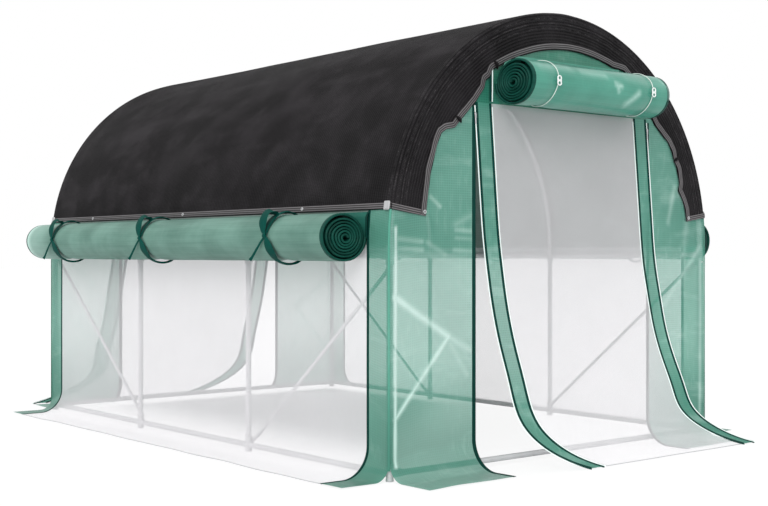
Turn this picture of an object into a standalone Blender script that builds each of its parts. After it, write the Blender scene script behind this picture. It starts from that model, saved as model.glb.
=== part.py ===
"""A walk-in tunnel greenhouse: a steel hoop frame, a green cover with net walls, rolled
curtains and doors, net doors swept open, and a black shade net over the roof.

Metres, +Z up. The origin is on the ground at the centre of the footprint. The front
gable faces -Y, the side walls face -X and +X.
"""

from math import asin, cos, degrees, exp, pi, radians, sin, tan

import bmesh
import bpy
from mathutils import Vector

# Clearances
GAP = 0.0003  # between pieces that touch
SEAM = 0.0005  # between two sheets sewn edge to edge

# Frame
HALF_WIDTH = 1.0  # centre line of a hoop's legs from the middle
BAY_LENGTH = 1.0
BAYS = 3
SPRING_HEIGHT = 0.94  # where the legs end and the round arch begins
TUBE_DIAMETER = 0.025
TUBE_WALL = 0.0009
SIDES = 8  # of a round tube
ARCH_STEPS = 20
SOCKET_WALL = 0.0022
SOCKET_OVERLAP = 0.022  # how far a tube goes into its socket
CORNER_SOCKET = 0.06  # length of a socket from its post's centre line
SHOULDER_SOCKET = 0.04  # length of a socket from the rail's centre line
BASE_RAIL_HEIGHT = 0.03
BASE_SOCKET_TOP = 0.075
SHOULDER_DROP = 0.047  # from the springing down to the shoulder rail
SADDLE_HEIGHT = 0.003
SADDLE_WIDTH = 0.018
BRACE_DIAMETER = 0.016
BRACE_DROP = 0.033  # from the shoulder rail down to a brace's bolt
BRACE_FOOT = 0.04
BRACE_TAB = 0.045  # length of a brace's flattened end, from its bolt
BRACE_TAB_END = 0.011  # and beyond the bolt
BRACE_TAB_THICKNESS = 0.004

# Cover
SHEET = 0.003  # thickness of a sheet here
SEAM_DROP = 0.005  # from the springing down to the seam of walls and roof
SKIRT_START = 0.13  # height at which a wall starts to flare
SKIRT_REACH = 0.235  # how far a skirt reaches out over the ground
SKIRT_STEPS = 4
GROUND_CLEARANCE = 0.0006
STRIP_WIDTH = 0.13  # of the green strip at each corner of a side wall
DOOR_LEFT = 0.545  # edge of the doorway from the middle, on the left from outside
DOOR_RIGHT = 0.593
DOOR_HEAD_DROP = 0.425  # from the hoop's crown down to the doorway's head

# Shade net
SHADE_SHEET = 0.003
SHADE_HEM_RISE = 0.008  # from the curtain's seam up to the side hem
# How far the pulled hem lies in from the hoop's centre line on the gable, at angles in
# degrees from the right springing as seen from outside.
SHADE_HEM = (
    (7.6, 0.133), (14.8, 0.141), (18.2, 0.159), (20.1, 0.138), (28.3, 0.136), (34.2, 0.127),
    (42.2, 0.158), (52, 0.130), (64, 0.107), (69.1, 0.130), (92.6, 0.142), (118, 0.142),
    (122.3, 0.139), (128, 0.179), (133, 0.193), (143.5, 0.181), (148.6, 0.131),
    (154.6, 0.137), (172.4, 0.165),
)

# Rolled curtains and doors
ROLL_RADIUS = 0.094
ROLL_DEPTH = 1.17  # how many times deeper than high a loose roll is
ROLL_TURNS = 5
ROLL_PITCH = 0.0118
ROLL_STEPS = 14  # points in one turn
OUTER_STEPS = 10  # of the first turn, which lie round before it dips under the sheet
CURTAIN_SETBACK = 0.117  # of the roll's front end, from the first hoop
CURTAIN_BACK_SETBACK = 0.157  # of its back end, from the last hoop
CURTAIN_RISE = 0.028  # from the springing up to the roll's centre
CURTAIN_HANG = 0.098  # from the seam on the roof down to the roll's centre
CURTAIN_TAIL = 0.006  # where the hanging sheet ends over the roll's centre
DOOR_ROLL_LEFT = 0.444
DOOR_ROLL_RIGHT = 0.44
DOOR_ROLL_RISE = 0.102  # from the doorway's head up to the roll's centre
DOOR_HANG = 0.128  # from the door's seam down to the roll's centre
DOOR_ROLL_STANDOFF = 0.0062  # from the net door's face, room for the zip sliders
DOOR_SEAM_INSET = 0.08  # how much shorter a door's seam is than its roll, at each end

# Ties and straps
TIE_SETBACKS = (0.5, 0.45, 0.495)  # of the ties, from the second hoop and those behind it
TIE_WIDTH = 0.024
TIE_TAIL_WIDTH = 0.006
TIE_THICKNESS = 0.0015
TIE_LEAN = 0.055
STRAP_DIAMETER = 0.004
STRAP_PLACES = (-0.297, 0.320)
TOGGLE_SIZE = (0.024, 0.042, 0.008)

# Net doors
NET_LAP = 0.015  # of a net door's top edge over the doorway's head
NET_THICKNESS = 0.002
LEFT_BAND = 0.096  # widths of the green bands
RIGHT_BAND = 0.118
BAND_THICKNESS = 0.003
NET_LEFT = 0.315  # inner edge of the left band from the middle, above the sweep
NET_RIGHT = 0.620
LEFT_SHIFT = 0.1224  # how far the bands' tops lie to the left of their feet
RIGHT_SHIFT = 0.15
NET_SWEEP_LEFT = 0.245  # sideways pull of the hem along the ground
NET_SWEEP_RIGHT = 0.31
NET_SWEEP_HEIGHT = 0.08
NET_FLARE_START = 1.0
NET_FLARE = 0.30
NET_HEM = 0.004  # height of the hem over the ground
NET_ROWS = (0.0, 0.03, 0.07, 0.13, 0.21, 0.32, 0.46, 0.62, 0.80, 1.0, 1.26)  # shares of it

# Zip sliders
SLIDER_DROP = 0.043  # from the net door's top edge down to a slider
SLIDER_WIDTH = 0.013
SLIDER_LENGTH = 0.02
SLIDER_THICKNESS = 0.0045
PULL_WIDTH = 0.008
PULL_LENGTH = 0.028

COLOURS = {
    "white_tube": ((0.78, 0.79, 0.80, 1), 0.35, 0.4),
    "green_sheet": ((0.10, 0.42, 0.31, 1), 0.35, 0.0),
    "green_strip": ((0.12, 0.45, 0.34, 1), 0.35, 0.0),
    "white_net": ((0.80, 0.81, 0.82, 1), 0.7, 0.0),
    "black_net": ((0.02, 0.02, 0.022, 1), 0.8, 0.0),
    "dark_ribbon": ((0.01, 0.16, 0.12, 1), 0.5, 0.0),
    "white_cord": ((0.75, 0.80, 0.76, 1), 0.6, 0.0),
    "zip_metal": ((0.70, 0.72, 0.72, 1), 0.3, 1.0),
}

# Sizes that follow from those above
SHOULDER_RAIL_HEIGHT = SPRING_HEIGHT - SHOULDER_DROP
BRACE_TOP = SHOULDER_RAIL_HEIGHT - BRACE_DROP
SEAM_HEIGHT = SPRING_HEIGHT - SEAM_DROP
DOOR_HEAD = SPRING_HEIGHT + HALF_WIDTH - DOOR_HEAD_DROP
DOOR_ROLL_HEIGHT = DOOR_HEAD + DOOR_ROLL_RISE
NET_TOP = DOOR_HEAD + NET_LAP
SLIDER_HEIGHT = NET_TOP - SLIDER_DROP
CURTAIN_HEIGHT = SPRING_HEIGHT + CURTAIN_RISE
CURTAIN_SEAM = CURTAIN_HEIGHT + CURTAIN_HANG
TUBE_RADIUS = TUBE_DIAMETER / 2
HALF_LENGTH = BAYS * BAY_LENGTH / 2
HOOPS = [BAY_LENGTH * i - HALF_LENGTH for i in range(BAYS + 1)]
TIE_PLACES = [hoop - setback for hoop, setback in zip(HOOPS[1:], TIE_SETBACKS)]
CURTAIN_FRONT = CURTAIN_SETBACK - HALF_LENGTH
CURTAIN_BACK = HALF_LENGTH - CURTAIN_BACK_SETBACK
SOCKET_RADIUS = TUBE_RADIUS + GAP + SOCKET_WALL
WALL_X = HALF_WIDTH + SOCKET_RADIUS + SEAM  # inner face of a side wall
GABLE_Y = HALF_LENGTH + SOCKET_RADIUS + SEAM  # inner face of a gable
ROOF_RADIUS = HALF_WIDTH + TUBE_RADIUS + SEAM
SHADE_RADIUS = ROOF_RADIUS + SHEET + GAP
SHADE_HEM_ANGLE = degrees(asin((CURTAIN_SEAM + SHADE_HEM_RISE - SPRING_HEIGHT) / SHADE_RADIUS))
GABLE_FACE = GABLE_Y + SHEET
NET_FACE = GABLE_FACE + SEAM  # back of a net door's top edge


def clear_scene():
    for obj in list(bpy.data.objects):
        bpy.data.objects.remove(obj, do_unlink=True)


def material(name):
    """The material of this name, made on its first use."""
    if name in bpy.data.materials:
        return bpy.data.materials[name]
    colour, roughness, metallic = COLOURS[name]
    made = bpy.data.materials.new(name)
    made.use_nodes = True
    shader = made.node_tree.nodes["Principled BSDF"]
    shader.inputs["Base Color"].default_value = colour
    shader.inputs["Roughness"].default_value = roughness
    shader.inputs["Metallic"].default_value = metallic
    made.diffuse_color = colour
    return made


def new_object(name, points, faces, look, origin=(0, 0, 0)):
    """An object from points in world space, with its origin at the given place."""
    mesh = bpy.data.meshes.new(name)
    mesh.from_pydata([Vector(p) - Vector(origin) for p in points], [], faces)
    bm = bmesh.new()
    bm.from_mesh(mesh)
    bmesh.ops.recalc_face_normals(bm, faces=bm.faces[:])
    bm.to_mesh(mesh)
    bm.free()
    mesh.shade_smooth()
    mesh.set_sharp_from_angle(angle=radians(40))
    mesh.materials.append(material(look))
    obj = bpy.data.objects.new(name, mesh)
    obj.location = origin
    bpy.context.scene.collection.objects.link(obj)
    return obj


def turned(points, half_turn):
    """The points, or for the back of the greenhouse the points turned half round."""
    return [(-p[0], -p[1], p[2]) for p in points] if half_turn else points


def unite(base, others):
    """Fuses the other objects into base, and removes them."""
    for other in others:
        fuse = base.modifiers.new("fuse", "BOOLEAN")
        fuse.operation = "UNION"
        fuse.object = other
    bpy.context.view_layer.update()
    result = bpy.data.meshes.new_from_object(
        base.evaluated_get(bpy.context.evaluated_depsgraph_get())
    )
    base.modifiers.clear()
    base.data = result
    for other in others:
        bpy.data.objects.remove(other, do_unlink=True)
    return base


# Tubes


def ring(centre, along, across, radius, sides=SIDES):
    """Points round a tube's centre. Its flats lie at the radius, one facing across."""
    along = Vector(along).normalized()
    across = Vector(across).normalized()
    third = along.cross(across)
    reach = radius / cos(pi / sides)
    turns = [2 * pi * (i + 0.5) / sides for i in range(sides)]
    return [Vector(centre) + reach * (cos(a) * across + sin(a) * third) for a in turns]


def path_directions(path):
    """The direction along the path at each of its points, mitred at the bends."""
    steps = [(b - a).normalized() for a, b in zip(path, path[1:])]
    inner = [(a + b).normalized() for a, b in zip(steps, steps[1:])]
    return [steps[0], *inner, steps[-1]]


def tube(name, path, across, look, radius=TUBE_RADIUS, wall=TUBE_WALL, sides=SIDES):
    """A tube along the path, open at both ends, or a solid rod where wall is 0."""
    path = [Vector(p) for p in path]
    shells = [radius, radius - wall] if wall else [radius]
    points = []
    for centre, along in zip(path, path_directions(path)):
        for shell in shells:
            points += ring(centre, along, across, shell, sides)
    stride = sides * len(shells)
    faces = []
    for step in range(len(path) - 1):
        for shell in range(len(shells)):
            start = step * stride + shell * sides
            for i in range(sides):
                j = (i + 1) % sides
                faces.append((start + i, start + j, start + stride + j, start + stride + i))
    for start in (0, (len(path) - 1) * stride):
        if not wall:
            faces.append(tuple(range(start, start + sides)))
            continue
        for i in range(sides):
            j = (i + 1) % sides
            faces.append((start + i, start + j, start + sides + j, start + sides + i))
    return new_object(name, points, faces, look)


def socket(centre, direction, across, length):
    """A sleeve with a blind bore for a tube's end, from its closed end at centre."""
    direction = Vector(direction)
    outer = SOCKET_RADIUS
    bore = TUBE_RADIUS + GAP
    floor = length - SOCKET_OVERLAP - GAP
    stations = ((0, outer), (length, outer), (length, bore), (floor, bore))
    points = []
    for distance, radius in stations:
        points += ring(Vector(centre) + distance * direction, direction, across, radius)
    faces = [tuple(range(SIDES)), tuple(range(3 * SIDES, 4 * SIDES))]
    for step in range(len(stations) - 1):
        for i in range(SIDES):
            j = (i + 1) % SIDES
            a = step * SIDES
            faces.append((a + i, a + j, a + SIDES + j, a + SIDES + i))
    return new_object("socket", points, faces, "white_tube")


def base_rails():
    """The long rails on the ground. Each carries a foot and a socket at every hoop."""
    for side, sign in (("left", -1), ("right", 1)):
        x = sign * HALF_WIDTH
        ends = [(x, -HALF_LENGTH, BASE_RAIL_HEIGHT), (x, HALF_LENGTH, BASE_RAIL_HEIGHT)]
        rail = tube(f"{side}_ground_rail", ends, (1, 0, 0), "white_tube", wall=0)
        sockets = [socket((x, y, 0), (0, 0, 1), (1, 0, 0), BASE_SOCKET_TOP) for y in HOOPS]
        for y in (HOOPS[0], HOOPS[-1]):
            start = (x, y, BASE_RAIL_HEIGHT)
            sockets.append(socket(start, (-sign, 0, 0), (0, 1, 0), CORNER_SOCKET))
        unite(rail, sockets)


def end_rails():
    """The short rails across the front and the back, seated in the corner sockets."""
    reach = HALF_WIDTH - CORNER_SOCKET + SOCKET_OVERLAP
    for end, y in (("front", -HALF_LENGTH), ("back", HALF_LENGTH)):
        ends = [(-reach, y, BASE_RAIL_HEIGHT), (reach, y, BASE_RAIL_HEIGHT)]
        tube(f"{end}_ground_rail", ends, (0, 1, 0), "white_tube")


def legs():
    """The upright legs, from the ground rail's sockets to the shoulder rail's."""
    foot = BASE_SOCKET_TOP - SOCKET_OVERLAP
    head = SHOULDER_RAIL_HEIGHT - SHOULDER_SOCKET + SOCKET_OVERLAP
    for side, sign in (("left", -1), ("right", 1)):
        for number, y in enumerate(HOOPS, 1):
            x = sign * HALF_WIDTH
            ends = [(x, y, foot), (x, y, head)]
            tube(f"{side}_leg_{number}", ends, (1, 0, 0), "white_tube")


def shoulder_rails():
    """The rails at the top of the legs, with a cross socket at every hoop."""
    for side, sign in (("left", -1), ("right", 1)):
        x = sign * HALF_WIDTH
        z = SHOULDER_RAIL_HEIGHT
        ends = [(x, -HALF_LENGTH, z), (x, HALF_LENGTH, z)]
        rail = tube(f"{side}_shoulder_rail", ends, (1, 0, 0), "white_tube", wall=0)
        sockets = []
        for y in HOOPS:
            for up in (-1, 1):
                sockets.append(socket((x, y, z), (0, 0, up), (1, 0, 0), SHOULDER_SOCKET))
        unite(rail, sockets)


def arches():
    """The round top of each hoop, its ends in the shoulder sockets."""
    foot = SHOULDER_RAIL_HEIGHT + SHOULDER_SOCKET - SOCKET_OVERLAP
    for number, y in enumerate(HOOPS, 1):
        path = [(HALF_WIDTH, y, foot)]
        for step in range(ARCH_STEPS + 1):
            angle = pi * step / ARCH_STEPS
            path.append((HALF_WIDTH * cos(angle), y, SPRING_HEIGHT + HALF_WIDTH * sin(angle)))
        path.append((-HALF_WIDTH, y, foot))
        tube(f"arch_{number}", path, (0, 1, 0), "white_tube")


def ridge_pole():
    """The pole under the arches' crown, with a saddle for each arch."""
    fall = SADDLE_WIDTH / 2 * tan(pi / ARCH_STEPS / 2)
    top = SPRING_HEIGHT + HALF_WIDTH - TUBE_RADIUS - GAP - fall
    z = top - TUBE_RADIUS - SADDLE_HEIGHT
    ends = [(0, -HALF_LENGTH, z), (0, HALF_LENGTH, z)]
    pole = tube("ridge_pole", ends, (1, 0, 0), "white_tube", wall=0)
    saddles = []
    for y in HOOPS:
        half = (SADDLE_WIDTH / 2, TUBE_RADIUS)
        y = max(-HALF_LENGTH + half[1], min(HALF_LENGTH - half[1], y))
        saddles.append(box((-half[0], y - half[1], z), (half[0], y + half[1], top)))
    unite(pole, saddles)


def box(low, high, look="white_tube", name="block"):
    """A box between two corners."""
    corners = [(x, y, z) for x in (low[0], high[0]) for y in (low[1], high[1]) for z in (low[2], high[2])]
    faces = [(0, 1, 3, 2), (4, 6, 7, 5), (0, 4, 5, 1), (2, 3, 7, 6), (0, 2, 6, 4), (1, 5, 7, 3)]
    return new_object(name, corners, faces, look)


def braces():
    """The diagonal of each end bay, with flattened ends against the legs' inner side."""
    for side, sign in (("left", -1), ("right", 1)):
        for end, out in (("front", -1), ("back", 1)):
            x = sign * (HALF_WIDTH - SOCKET_RADIUS - GAP - BRACE_TAB_THICKNESS / 2)
            top = Vector((x, out * (HALF_LENGTH - BRACE_TAB_END / 2), BRACE_TOP))
            foot = Vector((x, out * (HALF_LENGTH - BAY_LENGTH), BRACE_FOOT))
            along = (foot - top).normalized()
            bar_ends = [top + along * BRACE_TAB * 0.7, foot - along * BRACE_TAB * 0.7]
            inward = Vector((-sign * (BRACE_DIAMETER - BRACE_TAB_THICKNESS) / 2, 0, 0))
            bar = tube(
                f"{side}_{end}_brace",
                [p + inward for p in bar_ends],
                (1, 0, 0),
                "white_tube",
                radius=BRACE_DIAMETER / 2,
                wall=0,
            )
            unite(bar, [brace_tab(top, along), brace_tab(foot, -along)])


def brace_tab(bolt, along):
    """A brace's flattened end: a strip from just beyond its bolt."""
    across = Vector((0, -along.z, along.y)) * BRACE_DIAMETER / 2
    half = Vector((BRACE_TAB_THICKNESS / 2, 0, 0))
    corners = ((-BRACE_TAB_END, -1), (BRACE_TAB, -1), (BRACE_TAB, 1), (-BRACE_TAB_END, 1))
    flat = [bolt + s * along + t * across for s, t in corners]
    points = [p + sign * half for sign in (-1, 1) for p in flat]
    faces = [(0, 1, 2, 3), (4, 5, 6, 7), (0, 1, 5, 4), (1, 2, 6, 5), (2, 3, 7, 6), (3, 0, 4, 7)]
    return new_object("tab", points, faces, "white_tube")


# Sheets


def thickened(name, points, offsets, faces, look, origin=(0, 0, 0)):
    """A closed sheet: the given surface, its copy moved by the offsets, and an edge."""
    count = len(points)
    shifted = [Vector(p) + Vector(o) for p, o in zip(points, offsets)]
    uses = {}
    for face in faces:
        for a, b in zip(face, face[1:] + face[:1]):
            uses.setdefault(frozenset((a, b)), []).append((a, b))
    walls = [
        (pairs[0][1], pairs[0][0], pairs[0][0] + count, pairs[0][1] + count)
        for pairs in uses.values()
        if len(pairs) == 1
    ]
    back = [tuple(i + count for i in reversed(face)) for face in faces]
    return new_object(name, [*points, *shifted], [*faces, *back, *walls], look, origin)


def grid_faces(rows, columns):
    """The quads of a grid whose points are listed row by row."""
    faces = []
    for r in range(rows - 1):
        for c in range(columns - 1):
            corner = r * columns + c
            faces.append((corner, corner + 1, corner + columns + 1, corner + columns))
    return faces


def mitred(profile, thickness):
    """For each point of a flat profile, the offset that keeps the sheet's thickness."""
    directions = path_directions([Vector((a, b, 0)) for a, b in profile])
    steps = [
        (Vector((c - a, d - b, 0))).normalized()
        for (a, b), (c, d) in zip(profile, profile[1:])
    ]
    steps.append(steps[-1])
    offsets = []
    for direction, step in zip(directions, steps):
        scale = thickness / max(0.3, direction.dot(step))
        offsets.append((direction.y * scale, -direction.x * scale))
    return offsets


def wall_profile(face, reach=SKIRT_REACH):
    """A wall's inner face from its skirt's hem up to the start of the flare, as
    (distance from the middle, height). The skirt turns out on a quarter circle."""
    low = GROUND_CLEARANCE
    radius = SKIRT_START - low
    profile = [(face + reach, low)]
    for step in range(SKIRT_STEPS + 1):
        angle = pi / 2 * step / SKIRT_STEPS
        profile.append((face + radius * (1 - sin(angle)), low + radius * (1 - cos(angle))))
    return profile


def side_wall(name, sign, start, end, look):
    """A piece of side wall between two places along the greenhouse."""
    profile = [*wall_profile(WALL_X), (WALL_X, SEAM_HEIGHT - SEAM)]
    offsets = mitred(profile, SHEET)
    points = [(sign * x, y, z) for x, z in profile for y in (start, end)]
    moves = [(sign * a, 0, b) for a, b in offsets for _ in (start, end)]
    return thickened(name, points, moves, grid_faces(len(profile), 2), look)


def side_walls():
    """The net between two green corner strips, on each side."""
    edge = HALF_LENGTH + SOCKET_RADIUS - GAP
    net_edge = edge - STRIP_WIDTH - SEAM
    for side, sign in (("left", -1), ("right", 1)):
        side_wall(f"{side}_net_wall", sign, -net_edge, net_edge, "white_net")
        for end, out in (("front", -1), ("back", 1)):
            places = sorted((out * edge, out * (edge - STRIP_WIDTH)))
            side_wall(f"{side}_{end}_corner_strip", sign, *places, "green_strip")


def vault(radius, angle):
    """A point of the vault's many-sided outline, whose corners lie on the radius, at an
    angle in degrees from the right springing."""
    width = 180 / ARCH_STEPS
    middle = (int(angle / width) + 0.5) * width if angle < 180 else 180 - width / 2
    reach = radius * cos(radians(width / 2)) / cos(radians(angle - middle))
    return reach * cos(radians(angle)), SPRING_HEIGHT + reach * sin(radians(angle))


def vault_at(radius, x):
    """The vault outline's height over a place across the greenhouse."""
    corners = [vault(radius, 180 * i / ARCH_STEPS) for i in range(ARCH_STEPS + 1)]
    for (a, b), (c, d) in zip(corners, corners[1:]):
        if c <= x <= a:
            return b + (d - b) * (x - a) / (c - a)
    raise ValueError(f"{x} lies outside the vault")


def gable_panel(name, half_turn, sign, inner):
    """A gable's panel beside the doorway, from its skirt up to the vault."""
    radius = ROOF_RADIUS - SEAM
    rows = [(y, z, radius, inner) for y, z in wall_profile(GABLE_Y)]
    corners = [vault(radius, 180 * i / ARCH_STEPS) for i in range(ARCH_STEPS // 2)]
    rows += [(GABLE_Y, z, x, inner) for x, z in corners if x > inner]
    profile = [(y, z) for y, z, _, _ in rows]
    offsets = mitred([*profile, (GABLE_Y, vault_at(radius, inner))], SHEET)
    points = [(sign * x, -y, z) for y, z, outer, edge in rows for x in (outer, edge)]
    points.append((sign * inner, -GABLE_Y, vault_at(radius, inner)))
    moves = [(0, -a, b) for a, b in offsets[:-1] for _ in range(2)] + [(0, -offsets[-1][0], 0)]
    faces = grid_faces(len(rows), 2)
    last = 2 * len(rows)
    faces.append((last - 2, last - 1, last))
    return thickened(
        name, turned(points, half_turn), turned(moves, half_turn), faces, "green_sheet"
    )


def gable_header(name, half_turn):
    """The part of a gable above the doorway."""
    radius = ROOF_RADIUS - SEAM
    left, right = -DOOR_LEFT + SEAM, DOOR_RIGHT - SEAM
    outline = [(left, DOOR_HEAD), (right, DOOR_HEAD), (right, vault_at(radius, right))]
    corners = [vault(radius, 180 * i / ARCH_STEPS) for i in range(ARCH_STEPS + 1)]
    outline += [(x, z) for x, z in corners if left < x < right]
    outline.append((left, vault_at(radius, left)))
    points = [(x, -GABLE_Y, z) for x, z in outline]
    moves = [(0, -SHEET, 0)] * len(points)
    faces = [tuple(range(len(points)))]
    return thickened(
        name, turned(points, half_turn), turned(moves, half_turn), faces, "green_sheet"
    )


def gables():
    for end, half_turn in (("front", False), ("back", True)):
        gable_panel(f"{end}_left_panel", half_turn, -1, DOOR_LEFT)
        gable_panel(f"{end}_right_panel", half_turn, 1, DOOR_RIGHT)
        gable_header(f"{end}_header", half_turn)


def roof_cover():
    """The green roof sheet over the hoops, down to the walls' seams."""
    stations = [(ROOF_RADIUS, 0, SEAM_HEIGHT)]
    for step in range(ARCH_STEPS + 1):
        x, z = vault(ROOF_RADIUS, 180 * step / ARCH_STEPS)
        stations.append((x, 180 * step / ARCH_STEPS, z))
    stations.append((-ROOF_RADIUS, 180, SEAM_HEIGHT))
    points = []
    moves = []
    for x, angle, z in stations:
        for y in (-GABLE_FACE, GABLE_FACE):
            points.append((x, y, z))
            moves.append((SHEET * cos(radians(angle)), 0, SHEET * sin(radians(angle))))
    thickened("roof_cover", points, moves, grid_faces(len(stations), 2), "green_sheet")


def hem_depth(angle):
    """How far in from the hoop the shade net's hem lies on the gable."""
    for (a, depth), (b, other) in zip(SHADE_HEM, SHADE_HEM[1:]):
        if a <= angle <= b:
            return depth + (other - depth) * (angle - a) / (b - a)
    return SHADE_HEM[0][1] if angle < SHADE_HEM[0][0] else SHADE_HEM[-1][1]


def shade_cover():
    """The shade net over the roof, pulled down over both gables to an uneven hem."""
    width = 180 / ARCH_STEPS / 2
    angles = [SHADE_HEM_ANGLE]
    angles += [width * i for i in range(1, 2 * ARCH_STEPS) if abs(width * i - 90) < 90 - SHADE_HEM_ANGLE]
    angles.append(180 - SHADE_HEM_ANGLE)
    inner_face = GABLE_FACE + SEAM
    points = []
    moves = []
    for angle in angles:
        x, z = vault(SHADE_RADIUS, angle)
        out = Vector((cos(radians(angle)), 0, sin(radians(angle))))
        front_hem = HALF_WIDTH - hem_depth(angle)
        back_hem = HALF_WIDTH - hem_depth(180 - angle)
        spring = Vector((0, 0, SPRING_HEIGHT))
        points += [
            spring + front_hem * out + Vector((0, -inner_face, 0)),
            (x, -inner_face, z),
            (x, inner_face, z),
            spring + back_hem * out + Vector((0, inner_face, 0)),
        ]
        forward = Vector((0, -SHADE_SHEET, 0))
        moves += [forward, out * SHADE_SHEET + forward, out * SHADE_SHEET - forward, -forward]
    thickened("shade_cover", points, moves, grid_faces(len(angles), 4), "black_net")


# Rolls


def spiral(tail, lean):
    """A rolled sheet's section as (outward, up) from the roll's centre, where the wall
    lies at -outward. It comes down a straight tail from the wall and winds under."""
    start = ROLL_RADIUS - SHEET / 2
    line = [(-start - lean, tail)]
    for step in range(ROLL_TURNS * ROLL_STEPS + 1):
        turns = step / ROLL_STEPS
        dip = max(0, step - OUTER_STEPS) / (ROLL_STEPS - OUTER_STEPS)
        inward = turns if turns > 1 else dip
        radius = start - ROLL_PITCH * inward
        line.append((-radius * cos(2 * pi * turns), -radius * sin(2 * pi * turns)))
    return line


def roll(name, place, start, end, tail, lean=0, inset=0):
    """A rolled sheet. place turns (along, outward, up) into a point. The tail's top can
    lean to the wall, and be shorter than the roll by an inset at each end."""
    line = spiral(tail, lean)
    flat = [Vector((a, b, 0)) for a, b in line]
    sides = []
    for half in (SHEET / 2, -SHEET / 2):
        for point, along in zip(flat, path_directions(flat)):
            sides.append((point.x + along.y * half, point.y - along.x * half))
    count = len(line)
    section = [*range(count), *reversed(range(count, 2 * count))]
    points = []
    for s, inward in ((start, inset), (end, -inset)):
        points += [place(s + inward * (i % count == 0), *sides[i]) for i in section]
    total = 2 * count
    faces = []
    for i in range(total):
        j = (i + 1) % total
        faces.append((i, j, total + j, total + i))
    for side in (0, total):
        for i in range(count - 1):
            faces.append((side + i, side + i + 1, side + total - 2 - i, side + total - 1 - i))
    return new_object(name, points, faces, "green_sheet", place((start + end) / 2, 0, 0))


def curtain_place(sign):
    """Turns (along, outward, up) from a side curtain's roll centre into a point."""
    middle = WALL_X + SHEET + GAP + ROLL_DEPTH * ROLL_RADIUS
    return lambda along, out, up: (
        sign * (middle + ROLL_DEPTH * out), along, CURTAIN_HEIGHT + up
    )


def door_place(half_turn):
    """The same for a door's roll; along is +X seen from outside the front."""
    middle = NET_FACE + BAND_THICKNESS + DOOR_ROLL_STANDOFF + ROLL_DEPTH * ROLL_RADIUS
    turn = -1 if half_turn else 1
    return lambda along, out, up: (
        turn * along, -turn * (middle + ROLL_DEPTH * out), DOOR_ROLL_HEIGHT + up
    )


def curtain_sheet(name, sign):
    """The sheet from the seam on the roof down the wall to a rolled curtain."""
    face = WALL_X + SHEET + GAP
    start = CURTAIN_HEIGHT + CURTAIN_TAIL + GAP
    lines = [(face, start)]
    if start < SPRING_HEIGHT:
        lines.append((face, SPRING_HEIGHT))
    corners = [vault(ROOF_RADIUS + SHEET, 180 * i / ARCH_STEPS) for i in range(ARCH_STEPS // 2)]
    for (x, z), (next_x, next_z) in zip(corners, corners[1:]):
        if start < z < CURTAIN_SEAM and z > SPRING_HEIGHT:
            lines.append((x + SEAM, z))
        if z <= CURTAIN_SEAM < next_z:
            seam = x + (next_x - x) * (CURTAIN_SEAM - z) / (next_z - z) + SEAM
    lines.append((seam, CURTAIN_SEAM))
    ends = (max(CURTAIN_FRONT, -GABLE_FACE), min(CURTAIN_BACK, GABLE_FACE))
    points = [(sign * x, y, z) for x, z in lines for y in ends]
    moves = [(sign * SHEET, 0, 0)] * len(points)
    return thickened(name, points, moves, grid_faces(len(lines), 2), "green_sheet")


def rolls():
    """The rolled side curtains with their hanging sheets, and the rolled doors."""
    for side, sign in (("left", -1), ("right", 1)):
        place = curtain_place(sign)
        roll(f"{side}_curtain_roll", place, CURTAIN_FRONT, CURTAIN_BACK, CURTAIN_TAIL)
        curtain_sheet(f"{side}_curtain_sheet", sign)
    for end, half_turn in (("front", False), ("back", True)):
        place = door_place(half_turn)
        lean = (DOOR_ROLL_STANDOFF - GAP) / ROLL_DEPTH
        ends = (-DOOR_ROLL_LEFT, DOOR_ROLL_RIGHT)
        roll(f"{end}_door_roll", place, *ends, DOOR_HANG, lean, DOOR_SEAM_INSET)


def around(radius, step):
    """The corners' radius of a many-sided curve whose sides just clear a round one."""
    return radius / cos(step / 2)


def ribbon(name, place, middle, lean, lift, width, tail_width):
    """A ribbon over the front of a roll, from high at the wall to low, leaning along."""
    steps = 14
    start, end = radians(150), radians(-125)
    radius = around(ROLL_RADIUS + GAP + lift, (start - end) / steps)
    points = []
    moves = []
    for step in range(steps + 1):
        share = step / steps
        angle = start + (end - start) * share
        along = middle + lean * (share - 0.45) * 2
        half = (width + (tail_width - width) * max(0, share - 0.3) / 0.7) / 2
        for s in (-half, half):
            inner = place(along + s, radius * cos(angle), radius * sin(angle))
            outer_radius = radius + TIE_THICKNESS
            outer = place(along + s, outer_radius * cos(angle), outer_radius * sin(angle))
            points.append(inner)
            moves.append(Vector(outer) - Vector(inner))
    return thickened(name, points, moves, grid_faces(steps + 1, 2), "dark_ribbon")


def ties():
    """The ribbons that hold a side curtain up: two ends that cross on the roll."""
    for side, sign in (("left", -1), ("right", 1)):
        place = curtain_place(sign)
        for number, y in enumerate(TIE_PLACES, 1):
            first = ribbon(f"{side}_tie_{number}", place, y, -TIE_LEAN, 0, TIE_WIDTH, TIE_WIDTH)
            second = ribbon(
                "ribbon", place, y, TIE_LEAN, TIE_THICKNESS / 2, TIE_WIDTH, TIE_TAIL_WIDTH
            )
            unite(first, [second])


def straps():
    """The cords that hold a rolled door up, each with a toggle on its front."""
    steps = 12
    start, end = radians(128), radians(-118)
    radius = around(ROLL_RADIUS + GAP + STRAP_DIAMETER / 2, (start - end) / steps)
    for door, half_turn in (("front", False), ("back", True)):
        place = door_place(half_turn)
        for side, along in zip(("left", "right"), STRAP_PLACES):
            path = []
            for step in range(steps + 1):
                angle = start + (end - start) * step / steps
                path.append(place(along, radius * cos(angle), radius * sin(angle)))
            cord = tube(
                f"{door}_{side}_strap",
                path,
                (1, 0, 0),
                "white_cord",
                radius=STRAP_DIAMETER / 2,
                wall=0,
                sides=6,
            )
            unite(cord, [toggle(place, along, radius)])


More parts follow.
